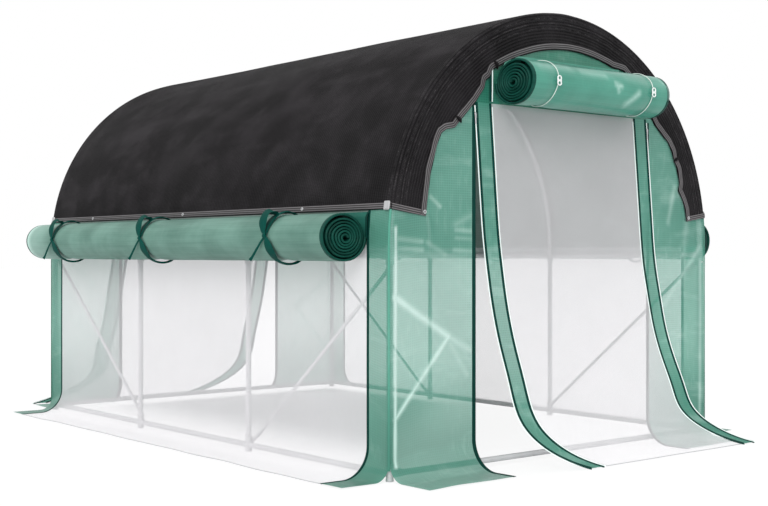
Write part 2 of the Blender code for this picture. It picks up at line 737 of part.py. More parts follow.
def toggle(place, along, radius):
    """The clip on a strap, standing on the roll's front."""
    width, height, depth = TOGGLE_SIZE
    near = radius - STRAP_DIAMETER / 2 + GAP
    points = []
    for distance in (GAP * 2, depth):
        for s, t in ((-1, -1), (1, -1), (1, 1), (-1, 1)):
            corner = place(along + s * width / 2, near + distance / ROLL_DEPTH, t * height / 2)
            points.append(corner)
    faces = [(0, 1, 2, 3), (4, 5, 6, 7), (0, 1, 5, 4), (1, 2, 6, 5), (2, 3, 7, 6), (3, 0, 4, 7)]
    return new_object("toggle", points, faces, "white_cord")


# Net doors


def net_edges(height):
    """The inner edges of a net door's two bands at a height."""
    pull = exp(-height / NET_SWEEP_HEIGHT)
    left = -NET_LEFT - LEFT_SHIFT * height / NET_TOP + NET_SWEEP_LEFT * pull
    right = NET_RIGHT - RIGHT_SHIFT * height / NET_TOP + NET_SWEEP_RIGHT * pull
    return left, right


def net_flare(height):
    """How far a net door stands out from the gable at a height."""
    return NET_FLARE * max(0, 1 - height / NET_FLARE_START) ** 2.5


def net_door(name, half_turn):
    """A net door with a green band down each side, swept out and to the right."""
    heights = [NET_HEM + NET_FLARE_START * share for share in NET_ROWS] + [NET_TOP]
    profile = [(NET_FACE + net_flare(z), z) for z in heights]
    thin = mitred(profile, NET_THICKNESS)
    thick = mitred(profile, BAND_THICKNESS)
    points = []
    moves = []
    for (y, z), flat, full in zip(profile, thin, thick):
        left, right = net_edges(z)
        middle = (left + right) / 2
        columns = (
            (left - LEFT_BAND, full), (left, full), (middle, flat),
            (right, full), (right + RIGHT_BAND, full),
        )
        for x, (out, up) in columns:
            points.append((x, -y, z))
            moves.append((0, -out, up))
    faces = grid_faces(len(profile), 5)
    hinge = turned([(0, -NET_FACE, NET_TOP)], half_turn)[0]
    thickened(
        name, turned(points, half_turn), turned(moves, half_turn), faces, "white_net", hinge
    )


def zip_slider(name, half_turn, x):
    """A slider with its pull, parked at the top of a net door's zip."""
    top = SLIDER_HEIGHT
    neck = top - SLIDER_LENGTH
    tip = neck - PULL_LENGTH
    body, pull = SLIDER_WIDTH / 2, PULL_WIDTH / 2
    right = [(body * 0.7, top), (body, top - SLIDER_LENGTH * 0.4), (pull * 0.6, neck),
             (pull, neck - PULL_LENGTH * 0.2), (pull, tip + pull * 0.6), (pull * 0.5, tip)]
    outline = right + [(-a, b) for a, b in reversed(right)]
    near = NET_FACE + BAND_THICKNESS + GAP
    points = [(x + a, -near, z) for a, z in outline]
    moves = [(0, -SLIDER_THICKNESS, 0)] * len(points)
    faces = [tuple(range(len(points)))]
    thickened(
        name, turned(points, half_turn), turned(moves, half_turn), faces, "zip_metal"
    )


def doors():
    left, right = net_edges(SLIDER_HEIGHT)
    inset = SLIDER_WIDTH * 0.3
    for end, half_turn in (("front", False), ("back", True)):
        net_door(f"{end}_net_door", half_turn)
        zip_slider(f"{end}_left_slider", half_turn, left - LEFT_BAND + inset)
        zip_slider(f"{end}_right_slider", half_turn, right + RIGHT_BAND - inset)


def main():
    clear_scene()
    base_rails()
    end_rails()
    legs()
    shoulder_rails()
    arches()
    ridge_pole()
    braces()
    side_walls()
    gables()
    roof_cover()
    shade_cover()
    rolls()
    ties()
    straps()
    doors()


main()
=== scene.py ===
from math import cos, exp, pi, radians, sin, sqrt

import bmesh
import bpy
from mathutils import Matrix, Vector, noise


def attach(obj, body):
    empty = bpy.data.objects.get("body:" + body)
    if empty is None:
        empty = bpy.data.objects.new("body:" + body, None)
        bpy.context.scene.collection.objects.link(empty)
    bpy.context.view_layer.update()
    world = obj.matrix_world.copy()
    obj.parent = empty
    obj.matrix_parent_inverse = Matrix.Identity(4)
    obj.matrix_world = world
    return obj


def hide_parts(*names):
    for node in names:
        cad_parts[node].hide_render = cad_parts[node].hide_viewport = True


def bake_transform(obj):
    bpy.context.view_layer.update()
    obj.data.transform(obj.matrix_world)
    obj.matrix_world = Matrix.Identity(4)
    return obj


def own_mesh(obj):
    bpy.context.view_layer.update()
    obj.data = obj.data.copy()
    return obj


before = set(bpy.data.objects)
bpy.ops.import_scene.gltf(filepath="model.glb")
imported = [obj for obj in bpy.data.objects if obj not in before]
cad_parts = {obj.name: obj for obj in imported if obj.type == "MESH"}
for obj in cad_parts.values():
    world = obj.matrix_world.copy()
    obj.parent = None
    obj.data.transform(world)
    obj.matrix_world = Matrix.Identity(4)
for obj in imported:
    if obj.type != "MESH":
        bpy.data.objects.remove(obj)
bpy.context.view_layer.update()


# The camera stands at chest height off the near left corner, and looks level across
# the tunnel, with the front gable on its right.
camera = bpy.data.objects.new("camera", bpy.data.cameras.new("camera"))
camera.data.sensor_width = 36
camera.data.lens = 59.39
camera.location = (-4.207, -5.331, 0.902)
camera.rotation_euler = (radians(90), 0, radians(-39.678))
bpy.context.scene.collection.objects.link(camera)
bpy.context.scene.camera = camera


# Hoops: two straight legs and a half-round arch of 25 mm steel tube, powder coated
# white. The legs stand in the ground rails' sleeves, one hoop at each metre.
class Wire:
    """An output of a material's node. Sums and products of wires add Math nodes."""

    def __init__(self, tree, socket=None):
        self.tree = tree
        self.socket = socket

    def add(self, kind, sockets, output=0, **settings):
        """Adds a node: its settings first, then each socket's value or wire."""
        node = self.tree.nodes.new("ShaderNode" + kind)
        for key, value in settings.items():
            setattr(node, key, value)
        for key, value in sockets.items():
            if isinstance(value, Wire):
                self.tree.links.new(value.socket, node.inputs[key])
            else:
                node.inputs[key].default_value = value
        return Wire(self.tree, node.outputs[output])

    def maths(self, operation, *others):
        return self.add("Math", dict(enumerate((self, *others))), operation=operation)

    def __add__(self, other):
        return self.maths("ADD", other)

    def __mul__(self, other):
        return self.maths("MULTIPLY", other)

    def __sub__(self, other):
        return self.maths("SUBTRACT", other)

    def __rsub__(self, other):
        return self.add("Math", {0: other, 1: self}, operation="SUBTRACT")

    __radd__ = __add__
    __rmul__ = __mul__

    def part(self, axis):
        return self.add("SeparateXYZ", {0: self}, axis)

    def flat(self):
        """A place on the flat cloth, or along and across a bar, in metres."""
        return self.add("UVMap", {}, uv_map="flat")

    def solid(self):
        """A place in the scene, in metres."""
        return self.add("TexCoord", {}, "Object")

    def ray(self, kind):
        return self.add("LightPath", {}, f"Is {kind} Ray")

    def highlight_marks(self):
        """How strongly the mesh marks this place with a painted highlight."""
        return self.add("Attribute", {}, "Fac", attribute_name="paint_highlights")

    def rise(self, low, high):
        """From 0 at low to 1 at high, with a smooth turn at each."""
        sockets = {0: self, 1: low, 2: high}
        return self.add("MapRange", sockets, interpolation_type="SMOOTHSTEP")

    def lines(self, pitch, width):
        """1 on lines this wide at every pitch, and 0 between them."""
        return 1 - self.maths("PINGPONG", pitch / 2).rise(width / 4, width * 3 / 4)

    def grid(self, pitch, width):
        """1 on the threads of a square mesh, and 0 between them."""
        return self.part("X").lines(pitch, width).maths("MAXIMUM", self.part("Y").lines(pitch, width))

    def stretched(self, x, y):
        return self.add("VectorMath", {0: self, 1: (x, y, 1)}, operation="MULTIPLY")

    def cloud(self, scale, detail=2):
        return self.add("TexNoise", {"Vector": self, "Scale": scale, "Detail": detail})

    def colours(self, first, second):
        """The first colour where this wire is 0, the second where it is 1."""
        sockets = {0: self, 6: (*first, 1) if isinstance(first, tuple) else first, 7: (*second, 1)}
        return self.add("Mix", sockets, 2, data_type="RGBA")

    def bump(self, strength, distance):
        return self.add("Bump", {"Strength": strength, "Distance": distance, "Height": self})


def finish(name, plain, recipe, through=None):
    """A material with plain shader values and the recipe's varying ones. A thin
    sheet's through is the share of light that glows on its far side, and its colour."""
    made = bpy.data.materials.new(name)
    made.use_nodes = True
    tree = made.node_tree
    shader = tree.nodes["Principled BSDF"]
    w = Wire(tree)
    values = {**plain, **recipe(w)}
    if through:
        share, colour = through
        glow = w.add("BsdfTranslucent", {"Color": (*colour, 1)})
        thin = w.add("MixShader", {0: share, 1: Wire(tree, shader.outputs[0]), 2: glow})
        holes = w.add("BsdfTransparent", {})
        sheet = w.add("MixShader", {0: values.pop("Alpha"), 1: holes, 2: thin})
        tree.links.new(sheet.socket, tree.nodes["Material Output"].inputs["Surface"])
    for key, value in values.items():
        if isinstance(value, Wire):
            tree.links.new(value.socket, shader.inputs[key])
        else:
            shader.inputs[key].default_value = value
    return made


def mottled(name, shine, scale, first, second, rough=0, grain=0, detail=2, where=Wire.solid):
    """One colour clouding into another, rougher in the second, with a fine grain."""

    def recipe(w):
        place = where(w)
        wear = place.cloud(scale, detail)
        values = {"Base Color": wear.colours(first, second)}
        if rough:
            values["Roughness"] = rough + 0.2 * wear
        if grain:
            values["Normal"] = place.cloud(grain).bump(0.2, 0.0004)
        return values

    return finish(name, shine, recipe)


shine = {"Coat Weight": 0.2, "Coat Roughness": 0.2}
dark, pale = (0.47, 0.475, 0.48), (0.62, 0.625, 0.635)
white_paint = mottled("powder_coat", shine, 7, dark, pale, 0.28, 700, 5)


def drawn(path, across, width, depth=None, sides=16, look=0):
    """A bar drawn along a path, its section an oval this wide across and this deep, or
    round. Across, width and depth may be lists, with a value for each point."""
    path = [Vector(p) for p in path]
    last = len(path) - 1
    spread, widths, depths = (
        value if isinstance(value, list) else [value] * len(path) for value in (across, width, depth or width)
    )
    run = [0]
    for here, there in zip(path, path[1:]):
        run.append(run[-1] + (there - here).length)
    bm = bmesh.new()
    uv = bm.loops.layers.uv.new("flat")
    bmesh.ops.create_circle(bm, segments=sides, radius=0.5)
    ring = bm.verts[:] + bm.edges[:]
    bmesh.ops.spin(
        bm, geom=ring, cent=(0, 0, 0), axis=(0, 0, 1), dvec=(0, 0, 1), angle=0, steps=last, use_merge=False
    )
    bmesh.ops.holes_fill(bm, edges=bm.edges[:], sides=0)
    flat = {}
    for v in bm.verts:
        a, b, step = v.co.x, v.co.y, round(v.co.z)
        along = (path[min(step + 1, last)] - path[max(step - 1, 0)]).normalized()
        side = Vector(spread[step])
        side = (side - along * side.dot(along)).normalized()
        flat[v] = (run[step], a * widths[step])
        v.co = path[step] + side * a * widths[step] + along.cross(side) * b * depths[step]
    for face in bm.faces:
        face.material_index = look
        for loop in face.loops:
            loop[uv].uv = flat[loop.vert]
    bmesh.ops.recalc_face_normals(bm, faces=bm.faces[:])
    return bm


def piece(name, parts, finishes, instead=(), body="tent"):
    """One object from the parts' meshes, with its finishes. It rides on a body,
    in place of CAD nodes."""
    mesh = bpy.data.meshes.new(name)
    whole = bmesh.new()
    for part in parts:
        part.to_mesh(mesh)
        part.free()
        whole.from_mesh(mesh)
    whole.to_mesh(mesh)
    whole.free()
    for look in finishes:
        mesh.materials.append(look)
    mesh.shade_smooth()
    mesh.set_sharp_from_angle(angle=radians(50))
    made = bpy.data.objects.new(name, mesh)
    bpy.context.scene.collection.objects.link(made)
    if body:
        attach(made, body)
    if instead:
        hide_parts(*instead)
    return made


def bolt(place, out):
    """A small hexagon head with its washer, standing out from a tube."""
    bm = bmesh.new()
    turn = Vector((0, 0, 1)).rotation_difference(Vector(out)).to_matrix().to_4x4()
    for radius, low, high, sides in ((0.0072, 0, 0.0012, 16), (0.0052, 0.0012, 0.0052, 6)):
        seat = Matrix.Translation(Vector(place)) @ turn @ Matrix.Translation((0, 0, (low + high) / 2))
        bmesh.ops.create_cone(
            bm, cap_ends=True, segments=sides, radius1=radius, radius2=radius, depth=high - low, matrix=seat
        )
    return bm


def arc(width, height, start, turn, steps):
    """Points of an oval's arc, from an angle and on by a turn, in degrees."""
    angles = [radians(start + turn * i / steps) for i in range(steps + 1)]
    return [(width * cos(a), height * sin(a)) for a in angles]


def rod(start, end, across):
    """A straight length of the frame's tube."""
    return drawn([start, end], across, tube)


flanks = (("left", -1), ("right", 1))
ends = (("front", -1), ("back", 1))
tube = 0.025
half = 1.5
hoops = (-half, -0.5, 0.5, half)
spring = 0.94
leg_line = [(1, 0.055), (1, 0.3), (1, 0.6)]
arch_line = [(x, spring + z) for x, z in arc(1, 1, 0, 180, 48)]
hoop_line = leg_line + arch_line + [(-x, z) for x, z in reversed(leg_line)]
for number, y in enumerate(hoops, 1):
    hoop = drawn([(x, y, z) for x, z in hoop_line], (0, 1, 0), tube)
    nodes = (f"arch_{number}", f"left_leg_{number}", f"right_leg_{number}")
    piece(f"hoop_{number}", [hoop], [white_paint], nodes)


# Rails: long tubes on the ground and at the shoulder on each side, and a short one on
# the ground across each end. Pressed sleeves on them take the legs, held by a bolt.
def sleeve(low, high, across):
    """A steel sleeve round a tube, with a rolled lip at each end."""
    path = [Vector(low).lerp(Vector(high), share) for share in (0, 0.03, 0.09, 0.13, 0.87, 0.91, 0.97, 1)]
    widths = [0.0295, 0.0322, 0.0322, 0.0302]
    return drawn(path, across, widths + widths[::-1])


low = 0.03
high = 0.893
for side, sign in flanks:
    x = sign * 1
    inner = x - sign * 0.0145
    inward = (-sign, 0, 0)
    ground = [rod((x, -half, low), (x, half, low), (1, 0, 0))]
    shoulder = [rod((x, -half, high), (x, half, high), (1, 0, 0))]
    for y in hoops:
        ground.append(sleeve((x, y, 0.0005), (x, y, 0.075), (1, 0, 0)))
        ground.append(bolt((inner, y, 0.062), inward))
        shoulder.append(sleeve((x, y, high - 0.04), (x, y, high + 0.04), (1, 0, 0)))
        reach = (max(-1.512, y - 0.04), min(1.512, y + 0.04))
        shoulder.append(sleeve((x, reach[0], high), (x, reach[1], high), (1, 0, 0)))
        shoulder += [bolt((inner, y, z), inward) for z in (0.866, 0.921)]
    for y in (-half, half):
        ground.append(sleeve((x, y, low), (x - sign * 0.06, y, low), (0, 1, 0)))
        ground.append(bolt((x - sign * 0.048, y, 0.0448), (0, 0, 1)))
    piece(f"{side}_ground_tube", ground, [white_paint], [f"{side}_ground_rail"])
    piece(f"{side}_shoulder_tube", shoulder, [white_paint], [f"{side}_shoulder_rail"])
for end, out in ends:
    bar = rod((-0.96, out * half, low), (0.96, out * half, low), (0, 1, 0))
    piece(f"{end}_ground_tube", [bar], [white_paint], [f"{end}_ground_rail"])


# Ridge pole: a tube under the arches' crowns, hung from each in a pressed saddle clip
# with a bolt through it.
ridge = 1.9106
parts = [rod((0, -half, ridge), (0, half, ridge), (1, 0, 0))]
for y in hoops:
    seat = max(-1.486, min(1.486, y))
    clip = [(x, seat, ridge + z) for x, z in arc(0.0165, 0.0165, 40, -260, 10)]
    parts.append(drawn(clip, (0, 1, 0), 0.024, 0.002, sides=8))
    neck = [(0, seat, ridge + 0.012), (0, seat, ridge + 0.0165)]
    parts.append(drawn(neck, (1, 0, 0), 0.02, 0.022, sides=8))
    parts.append(bolt((0, seat, ridge - 0.0172), (0, 0, -1)))
piece("ridge_tube", parts, [white_paint], ["ridge_pole"])


# Braces: a thinner tube across each end bay, its ends pressed flat, drilled and bolted
# to the corner leg's head and the next leg's foot.
for side, sign in flanks:
    for end, out in ends:
        top = Vector((sign * 0.9829, out * 1.4945, 0.86))
        foot = Vector((sign * 0.9829, out * 0.5, 0.04))
        along = (foot - top).normalized()
        inward = Vector((-sign * 0.006, 0, 0))
        near = [(-0.011, 0), (0.026, 0), (0.04, 0.3), (0.058, 0.9), (0.07, 1)]
        path = [top + along * s + inward * t for s, t in near]
        path += [foot - along * s + inward * t for s, t in reversed(near)]
        widths = [0.019, 0.021, 0.02, 0.017, 0.016]
        depths = [0.0042, 0.0042, 0.007, 0.0145, 0.016]
        across = (0, -along.z, along.y)
        parts = [drawn(path, across, widths + widths[::-1], depths + depths[::-1])]
        parts += [bolt(place - Vector((sign * 0.002, 0, 0)), (-sign, 0, 0)) for place in (top, foot)]
        name = f"{side}_{end}_brace"
        piece(f"{name}_tube", parts, [white_paint], [name])


# Net walls: white insect net from the seam under the shoulder down each side, between
# the green corner strips. Below, it turns out on the ground as a skirt.
def cloth(columns, rows, shape, outward, look=None):
    """A sheet as a grid: shape(across, up), each from 0 to 1, gives a point and its
    place on the flat cloth in metres, and look(across, up) a face's finish. Outward is
    the way it faces, or gives that for a point."""
    bm = bmesh.new()
    uv = bm.loops.layers.uv.new("flat")
    bmesh.ops.create_grid(bm, x_segments=columns, y_segments=rows, size=0.5)
    if look:
        for face in bm.faces:
            middle = face.calc_center_median()
            face.material_index = look(middle.x + 0.5, middle.y + 0.5)
    flat = {}
    for v in bm.verts:
        place, flat[v] = shape(v.co.x + 0.5, v.co.y + 0.5)
        v.co = place
    for face in bm.faces:
        for loop in face.loops:
            loop[uv].uv = flat[loop.vert]
    bm.normal_update()
    facing = outward if callable(outward) else lambda p: outward
    if sum(f.normal.dot(Vector(facing(f.calc_center_median()))) for f in bm.faces) < 0:
        bmesh.ops.reverse_faces(bm, faces=bm.faces[:])
    return bm


def wave(a, b, c=0):
    """Smooth unevenness from -1 to 1."""
    return noise.noise(Vector((a, b, c)))


skirt_reach = 0.235
skirt_bend = 0.127
cloth_low = 0.0028


def wall_line(share, bend, seam):
    """A wall's section at a share of its rows, from the skirt's hem up to the seam: how
    far out, how high, and how far along the cloth."""
    lying = skirt_reach - bend
    if share < 0.1:
        run = lying * share / 0.1
        return skirt_reach - run, cloth_low, run
    if share < 0.3:
        turn = pi / 2 * (share - 0.1) / 0.2
        return bend * (1 - sin(turn)), cloth_low + bend * (1 - cos(turn)), lying + bend * turn
    upright = (seam - cloth_low - bend) * (share - 0.3) / 0.7
    return 0, cloth_low + bend + upright, lying + bend * pi / 2 + upright


def net_recipe(w):
    flat = w.flat()
    mesh = flat.grid(0.004, 0.0016)
    haze = flat.cloud(3, 4)
    return {
        "Base Color": haze.colours((0.957, 0.937, 0.96), (0.99, 0.97, 0.992)),
        "Alpha": 0.4 + 0.1 * haze + 0.14 * mesh,
        "Normal": mesh.bump(0.3, 0.0005),
    }


net_shine = {"Roughness": 0.75, "Specular IOR Level": 0.2}
white_net = finish("insect_net", net_shine, net_recipe, (0.36, (0.985, 0.955, 0.985)))
side_face = 1.017
roof_radius = 1.0145


def side_shape(sign, start, end, bends, billow, seam=0.934):
    """The shape of a side wall's sheet between two places along the tunnel."""

    def shape(across, up):
        y = start + (end - start) * across
        bend = bends[0] + (bends[1] - bends[0]) * across
        out, z, run = wall_line(up, bend, seam)
        out -= roof_radius - sqrt(roof_radius**2 - max(0, z - spring) ** 2)
        slack = max(0, 1 - abs(z - 0.45) / 0.4)
        out += billow * slack * (abs(sin(pi * (y - 0.5))) + 0.6 * wave(y * 1.7, z * 2.3, sign))
        skirt = max(0, out / skirt_reach)
        out += 0.006 * skirt * wave(y * 2.1, 4, sign)
        z += 0.004 * skirt * (0.5 + wave(y * 3.7, 9, sign))
        return Vector((sign * (side_face + out), y, max(0.0022, z))), (y, run)

    return shape


def trim(shape, start, end, side, width, depth, steps=90, sides=8):
    """A bar drawn on a sheet's shape, from one (across, up) to another."""
    (a, b), (c, d) = start, end
    path = [shape(a + (c - a) * i / steps, b + (d - b) * i / steps)[0] for i in range(steps + 1)]
    return drawn(path, side, width, depth, sides)


dark, pale = (0.3, 0.31, 0.32), (0.42, 0.43, 0.44)
hem_thread = mottled("hem_thread", {"Roughness": 0.8}, 40, dark, pale, where=Wire.flat)
for side, sign in flanks:
    shape = side_shape(sign, -1.384, 1.384, (skirt_bend, skirt_bend), 0.0018)
    net = piece(f"{side}_net", [cloth(110, 60, shape, (sign, 0, 0.3))], [white_net], [f"{side}_net_wall"])
    bar = trim(shape, (0, 0), (1, 0), (1, 0, 0), 0.004, 0.0025, 60, 6)
    hem = piece(f"{side}_net_hem", [bar], [hem_thread])


# Corner strips: green reinforced film down each end of a side wall, sewn to the net and
# to the gable, with a dark binding down the edge by the net and out along its skirt.
def film(name, deep, pale, dense, crumple, through=None):
    """Film over a 10 mm scrim: how opaque it is, and how crumpled from its pack. Towards the
    ground it is more opaque and darker, the darker colour being painted shade, and it is
    lightened by painted highlights in patches, in streaks and along marked folds."""
    shaded_low = tuple(0.6 * part for part in deep)

    def recipe(w):
        flat = w.flat()
        # Painted shade: towards the ground the colour darkens, and the film is more opaque.
        low = 1 - w.solid().part("Z").rise(0.1, 0.52)
        scrim = flat.grid(0.01, 0.003)
        haze = flat.cloud(2.6, 5)
        # Painted highlights: sheen patches, streaks and the marked folds lighten the colour towards pale
        # green.
        sheen_patches = flat.stretched(1, 3.2).cloud(3.3, 4).rise(0.52, 0.74) * crumple
        streaks = flat.stretched(4, 1).cloud(12, 2).rise(0.5, 0.75) * haze.rise(0.45, 0.6) * crumple
        fold_highlight = w.highlight_marks()
        tone = haze.rise(0.3, 0.7) * 0.62 + scrim * 0.28
        light = (sheen_patches * 0.24 + streaks * 0.12 + fold_highlight).maths("MINIMUM", 1)
        relief = scrim * 0.08 + sheen_patches * 0.3 + fold_highlight * 0.6 + haze * 1.5 * crumple
        green = (low * 0.7).colours(tone.colours(deep, pale), shaded_low)
        return {
            "Base Color": light.colours(green, (0.66, 0.9, 0.82)),
            "Alpha": (dense + 0.07 * scrim + 0.2 * light + 0.05 * haze + 0.24 * low).maths("MINIMUM", 1),
            "Roughness": 0.3 + 0.2 * haze,
            "Normal": relief.bump(0.5, 0.005),
        }

    shine = {"Specular IOR Level": 0.4, "Coat Weight": 0.1, "Coat Roughness": 0.2}
    return finish(name, shine, recipe, through)


glow = (0.25, (0.16, 0.46, 0.35))
strip_film = film("strip_film", (0.08, 0.315, 0.23), (0.15, 0.43, 0.335), 0.66, 0.6, glow)
seam_film = film("seam_film", (0.05, 0.26, 0.185), (0.085, 0.32, 0.235), 0.92, 0.3)


def woven(name, shine, deep, pale):
    """Woven ribbon, ribbed across."""

    def recipe(w):
        flat = w.flat()
        weave = flat.part("X").lines(0.0022, 0.0011)
        shade = flat.cloud(9, 3)
        return {
            "Base Color": (shade * 0.7 + weave * 0.3).colours(deep, pale),
            "Roughness": 0.42 + 0.2 * shade,
            "Normal": weave.bump(0.3, 0.0006),
        }

    return finish(name, {"Specular IOR Level": shine}, recipe)


dark_binding = woven("dark_binding", 0.06, (0.0005, 0.02, 0.015), (0.004, 0.055, 0.042))


def edging(name, shape, across, side, body="tent", reach=1, width=0.0145):
    """Binding along one side of a sheet, up to a share of its height."""
    bar = trim(shape, (across, 0), (across, reach), side, width, 0.0032)
    return piece(name, [bar], [dark_binding], body=body)


corner_fall = ((0, 0.045), (0, 0.2), (0, 0.5), (0, 0.8), (0, 0.94), (0.0024, 1.01), (0.009, 1.075))
for side, sign in flanks:
    for end, out in ends:
        shape = side_shape(sign, out * 1.3845, out * 1.5145, (skirt_bend, 0.07), 0.0015, 1.085)
        name = f"{side}_{end}_corner_strip"
        strip = piece(f"{name}_film", [cloth(14, 70, shape, (sign, 0, 0.3))], [strip_film], [name])
        binding = edging(f"{name}_binding", shape, 0, (0, 1, 0), width=0.016)
        line = [(sign * (1.0182 - fall), out * 1.5172, z) for fall, z in corner_fall]
        seam = drawn(line, (1, -sign * out, 0), 0.01, 0.004, sides=10)
        corner = piece(f"{name}_seam", [seam], [seam_film])
        sewn = [binding, corner]


# Gable panels: the same film on both sides of each doorway, sewn to the roof along the
# arch. Each has a skirt on the ground and a dark binding on the edge by the doorway.
gable_film = film("gable_film", (0.105, 0.38, 0.285), (0.21, 0.55, 0.43), 0.56, 1, glow)
# The header's film is a darker copy of the gable's: painted shade under the rolled door and the shade net.
shaded_header_film = film("shaded_header_film", (0.014, 0.142, 0.092), (0.042, 0.236, 0.158), 0.9, 0.5)
gable_face = 1.517
gable_radius = 1.0135
seam_face = 1.5225


def paint_highlights(sheet, sign, marks):
    """Marks painted highlights for the film's finish, along folds and edges. Each mark is
    from x, z to x, z on the gable, then its strength and its width, lengths in millimetres."""
    lines = [
        (Vector((x, z)) / 1000, Vector((far_x, far_z)) / 1000, strength, width / 1000)
        for x, z, far_x, far_z, strength, width in marks
    ]
    layer = sheet.verts.layers.float.new("paint_highlights")
    for v in sheet.verts:
        here = Vector((sign * v.co.x, v.co.z))
        # The painted highlight's strength varies along each mark.
        wear_and_glint = 0.8 + 0.35 * wave(here.x * 9, here.y * 9, 1)
        for a, b, strength, width in lines:
            share = max(0, min(1, (here - a).dot(b - a) / (b - a).length_squared))
            gap = (here - a.lerp(b, share)).length / width
            v[layer] = max(v[layer], strength * wear_and_glint * max(0, 1 - gap) ** 1.5)


def gable_shape(out, outer, inner, start=None):
    """The shape of a gable's sheet from its outer edge to its inner one. It has a skirt,
    or begins at a height."""

    def shape(across, up):
        share = across if start else (1 - across) ** 1.6
        x = outer + (inner - outer) * share
        top = spring + sqrt(max(0, gable_radius**2 - x * x))
        if start is None:
            away, z, run = wall_line(up, skirt_bend - 0.05 * max(0, (abs(x) - 0.85) / 0.165), top)
        else:
            away, z, run = 0, start + (top - start) * up, start + (top - start) * up
        calm = max(0, min(1, (abs(x) - 0.6) / 0.1)) * max(0, min(1, (1.35 - z) / 0.3))
        away += 0.0025 * calm * wave(x * 4, z * 3, out)
        skirt = max(0, away / skirt_reach)
        away += 0.008 * skirt * wave(x * 3.1, 7, out)
        z += 0.004 * skirt * (0.5 + wave(x * 5.3, 2, out))
        return Vector((x, out * (gable_face + away), max(0.0022, z))), (x * -out, run)

    return shape


inner_edges = {"left": 0.549, "right": 0.567}
# Painted highlights on the gable panels: pale lines along their folds, and a bright line beside the corner
# tube.
gable_highlights = {
    "left": (
        (-985, 725, -700, 560, 1.5, 28), (-700, 560, -985, 244, 1.4, 20),
        (-700, 560, -585, 500, 0.8, 26), (-985, 60, -983, 1000, 1.7, 14.5),
        (-690, 530, -600, 400, 0.5, 25), (-976, 958, -845, 948, 0.6, 19),
        (-970, 922, -845, 914, 0.5, 18), (-818, 945, -720, 897, 0.45, 19),
        (-660, 998, -568, 992, 0.6, 18), (-660, 964, -568, 960, 0.4, 14),
        (-670, 914, -565, 908, 0.5, 17), (-800, 1130, -745, 1090, 0.8, 14),
        (-660, 1020, -570, 1060, 0.35, 30),
    ),
    "right": (
        (660, 620, 980, 930, 0.6, 30), (980, 120, 985, 860, 0.7, 22),
        (730, 1050, 780, 1220, 0.5, 30), (780, 1220, 860, 1140, 0.45, 25),
        (830, 750, 880, 1100, 0.35, 40),
    ),
}
for end, out in ends:
    for side, sign in flanks:
        turned = sign * -out
        shape = gable_shape(out, turned * roof_radius, turned * inner_edges[side])
        sheet = cloth(90, 340, lambda a, b: shape(1 - a, b), (0, out, 0.2))
        paint_highlights(sheet, -out, gable_highlights[side])
        name = f"{end}_{side}_panel"
        panel = piece(f"{name}_film", [sheet], [gable_film], [name])
        binding = edging(f"{name}_binding", shape, 0.0117, (1, 0, 0), reach=0.89, width=0.021)
        sewn = [binding]
    shape = gable_shape(out, out * inner_edges["left"], -out * inner_edges["right"], 1.515)
    sheet = cloth(60, 16, shape, (0, out, 0))
    header = piece(f"{end}_shaded_header_film", [sheet], [shaded_header_film], [f"{end}_header"])
    lines = [[(-out * x, out * seam_face, z) for z in (1.538, 1.6, 1.69)] for x in (-0.466, 0.47)]
    bars = [drawn(line, (1, 0, 0), 0.012, 0.0034, sides=8) for line in lines]
    bound = piece(f"{end}_header_bindings", bars, [dark_binding])


# Roof: duller greyish green film over the same scrim, stretched over the hoops from seam
# to seam under the shade net, and sewn to both walls and both gables.
roof_film = film("roof_film", (0.11, 0.18, 0.155), (0.19, 0.27, 0.24), 0.93, 0.3)


def roof_shape(across, up):
    y = 1.5183 * (2 * across - 1)
    run = -0.005 + (roof_radius * pi + 0.01) * up
    turn = max(0, min(pi, run / roof_radius))
    z = spring + roof_radius * sin(turn) + min(0, run) - max(0, run - roof_radius * pi)
    return Vector((roof_radius * cos(turn), y, z)), (y, run)


def upward(p):
    """Away from the middle of the tunnel, for the sheets over the hoops."""
    return p.x, 0, p.z - 0.9


roof = piece("roof_sheet", [cloth(60, 80, roof_shape, upward)], [roof_film], ["roof_cover"])


# Shade net: black knitted net with ribs across the tunnel, laid over the roof and
# pulled down over both gables, where its taped hem runs unevenly from eyelet to eyelet.
hem_steps = (
    (7.6, 131), (11.3, 129), (14.8, 141), (18.2, 160), (20.1, 139), (25, 129), (28.3, 136),
    (31, 126), (34.2, 127), (37.6, 146), (42.2, 158), (46, 153), (55, 125), (64, 107),
    (69.1, 130), (78.5, 137), (92.6, 142), (107.7, 146), (118, 142), (121.9, 139), (124.1, 157),
    (126.2, 156), (128.2, 180), (133, 193), (138, 189), (144.4, 181), (146.6, 148), (148.8, 131),
    (151, 133), (156, 141), (162, 151), (168, 163), (172.4, 164),
)
shade_radius = 1.0185
shade_face = 1.5205
shade_bend = 0.009
shade_edge = shade_face - shade_bend


def between(stops, at):
    """The value at a place, on straight lines between (place, value) stops."""
    for (a, first), (b, second) in zip(stops, stops[1:]):
        if at <= b:
            return first + (second - first) * max(0, (at - a) / (b - a))
    return second


def hem_radius(angle):
    """The gable hem's distance from the arch's centre, at an angle seen from outside."""
    return 1 - between(hem_steps, angle) / 1000


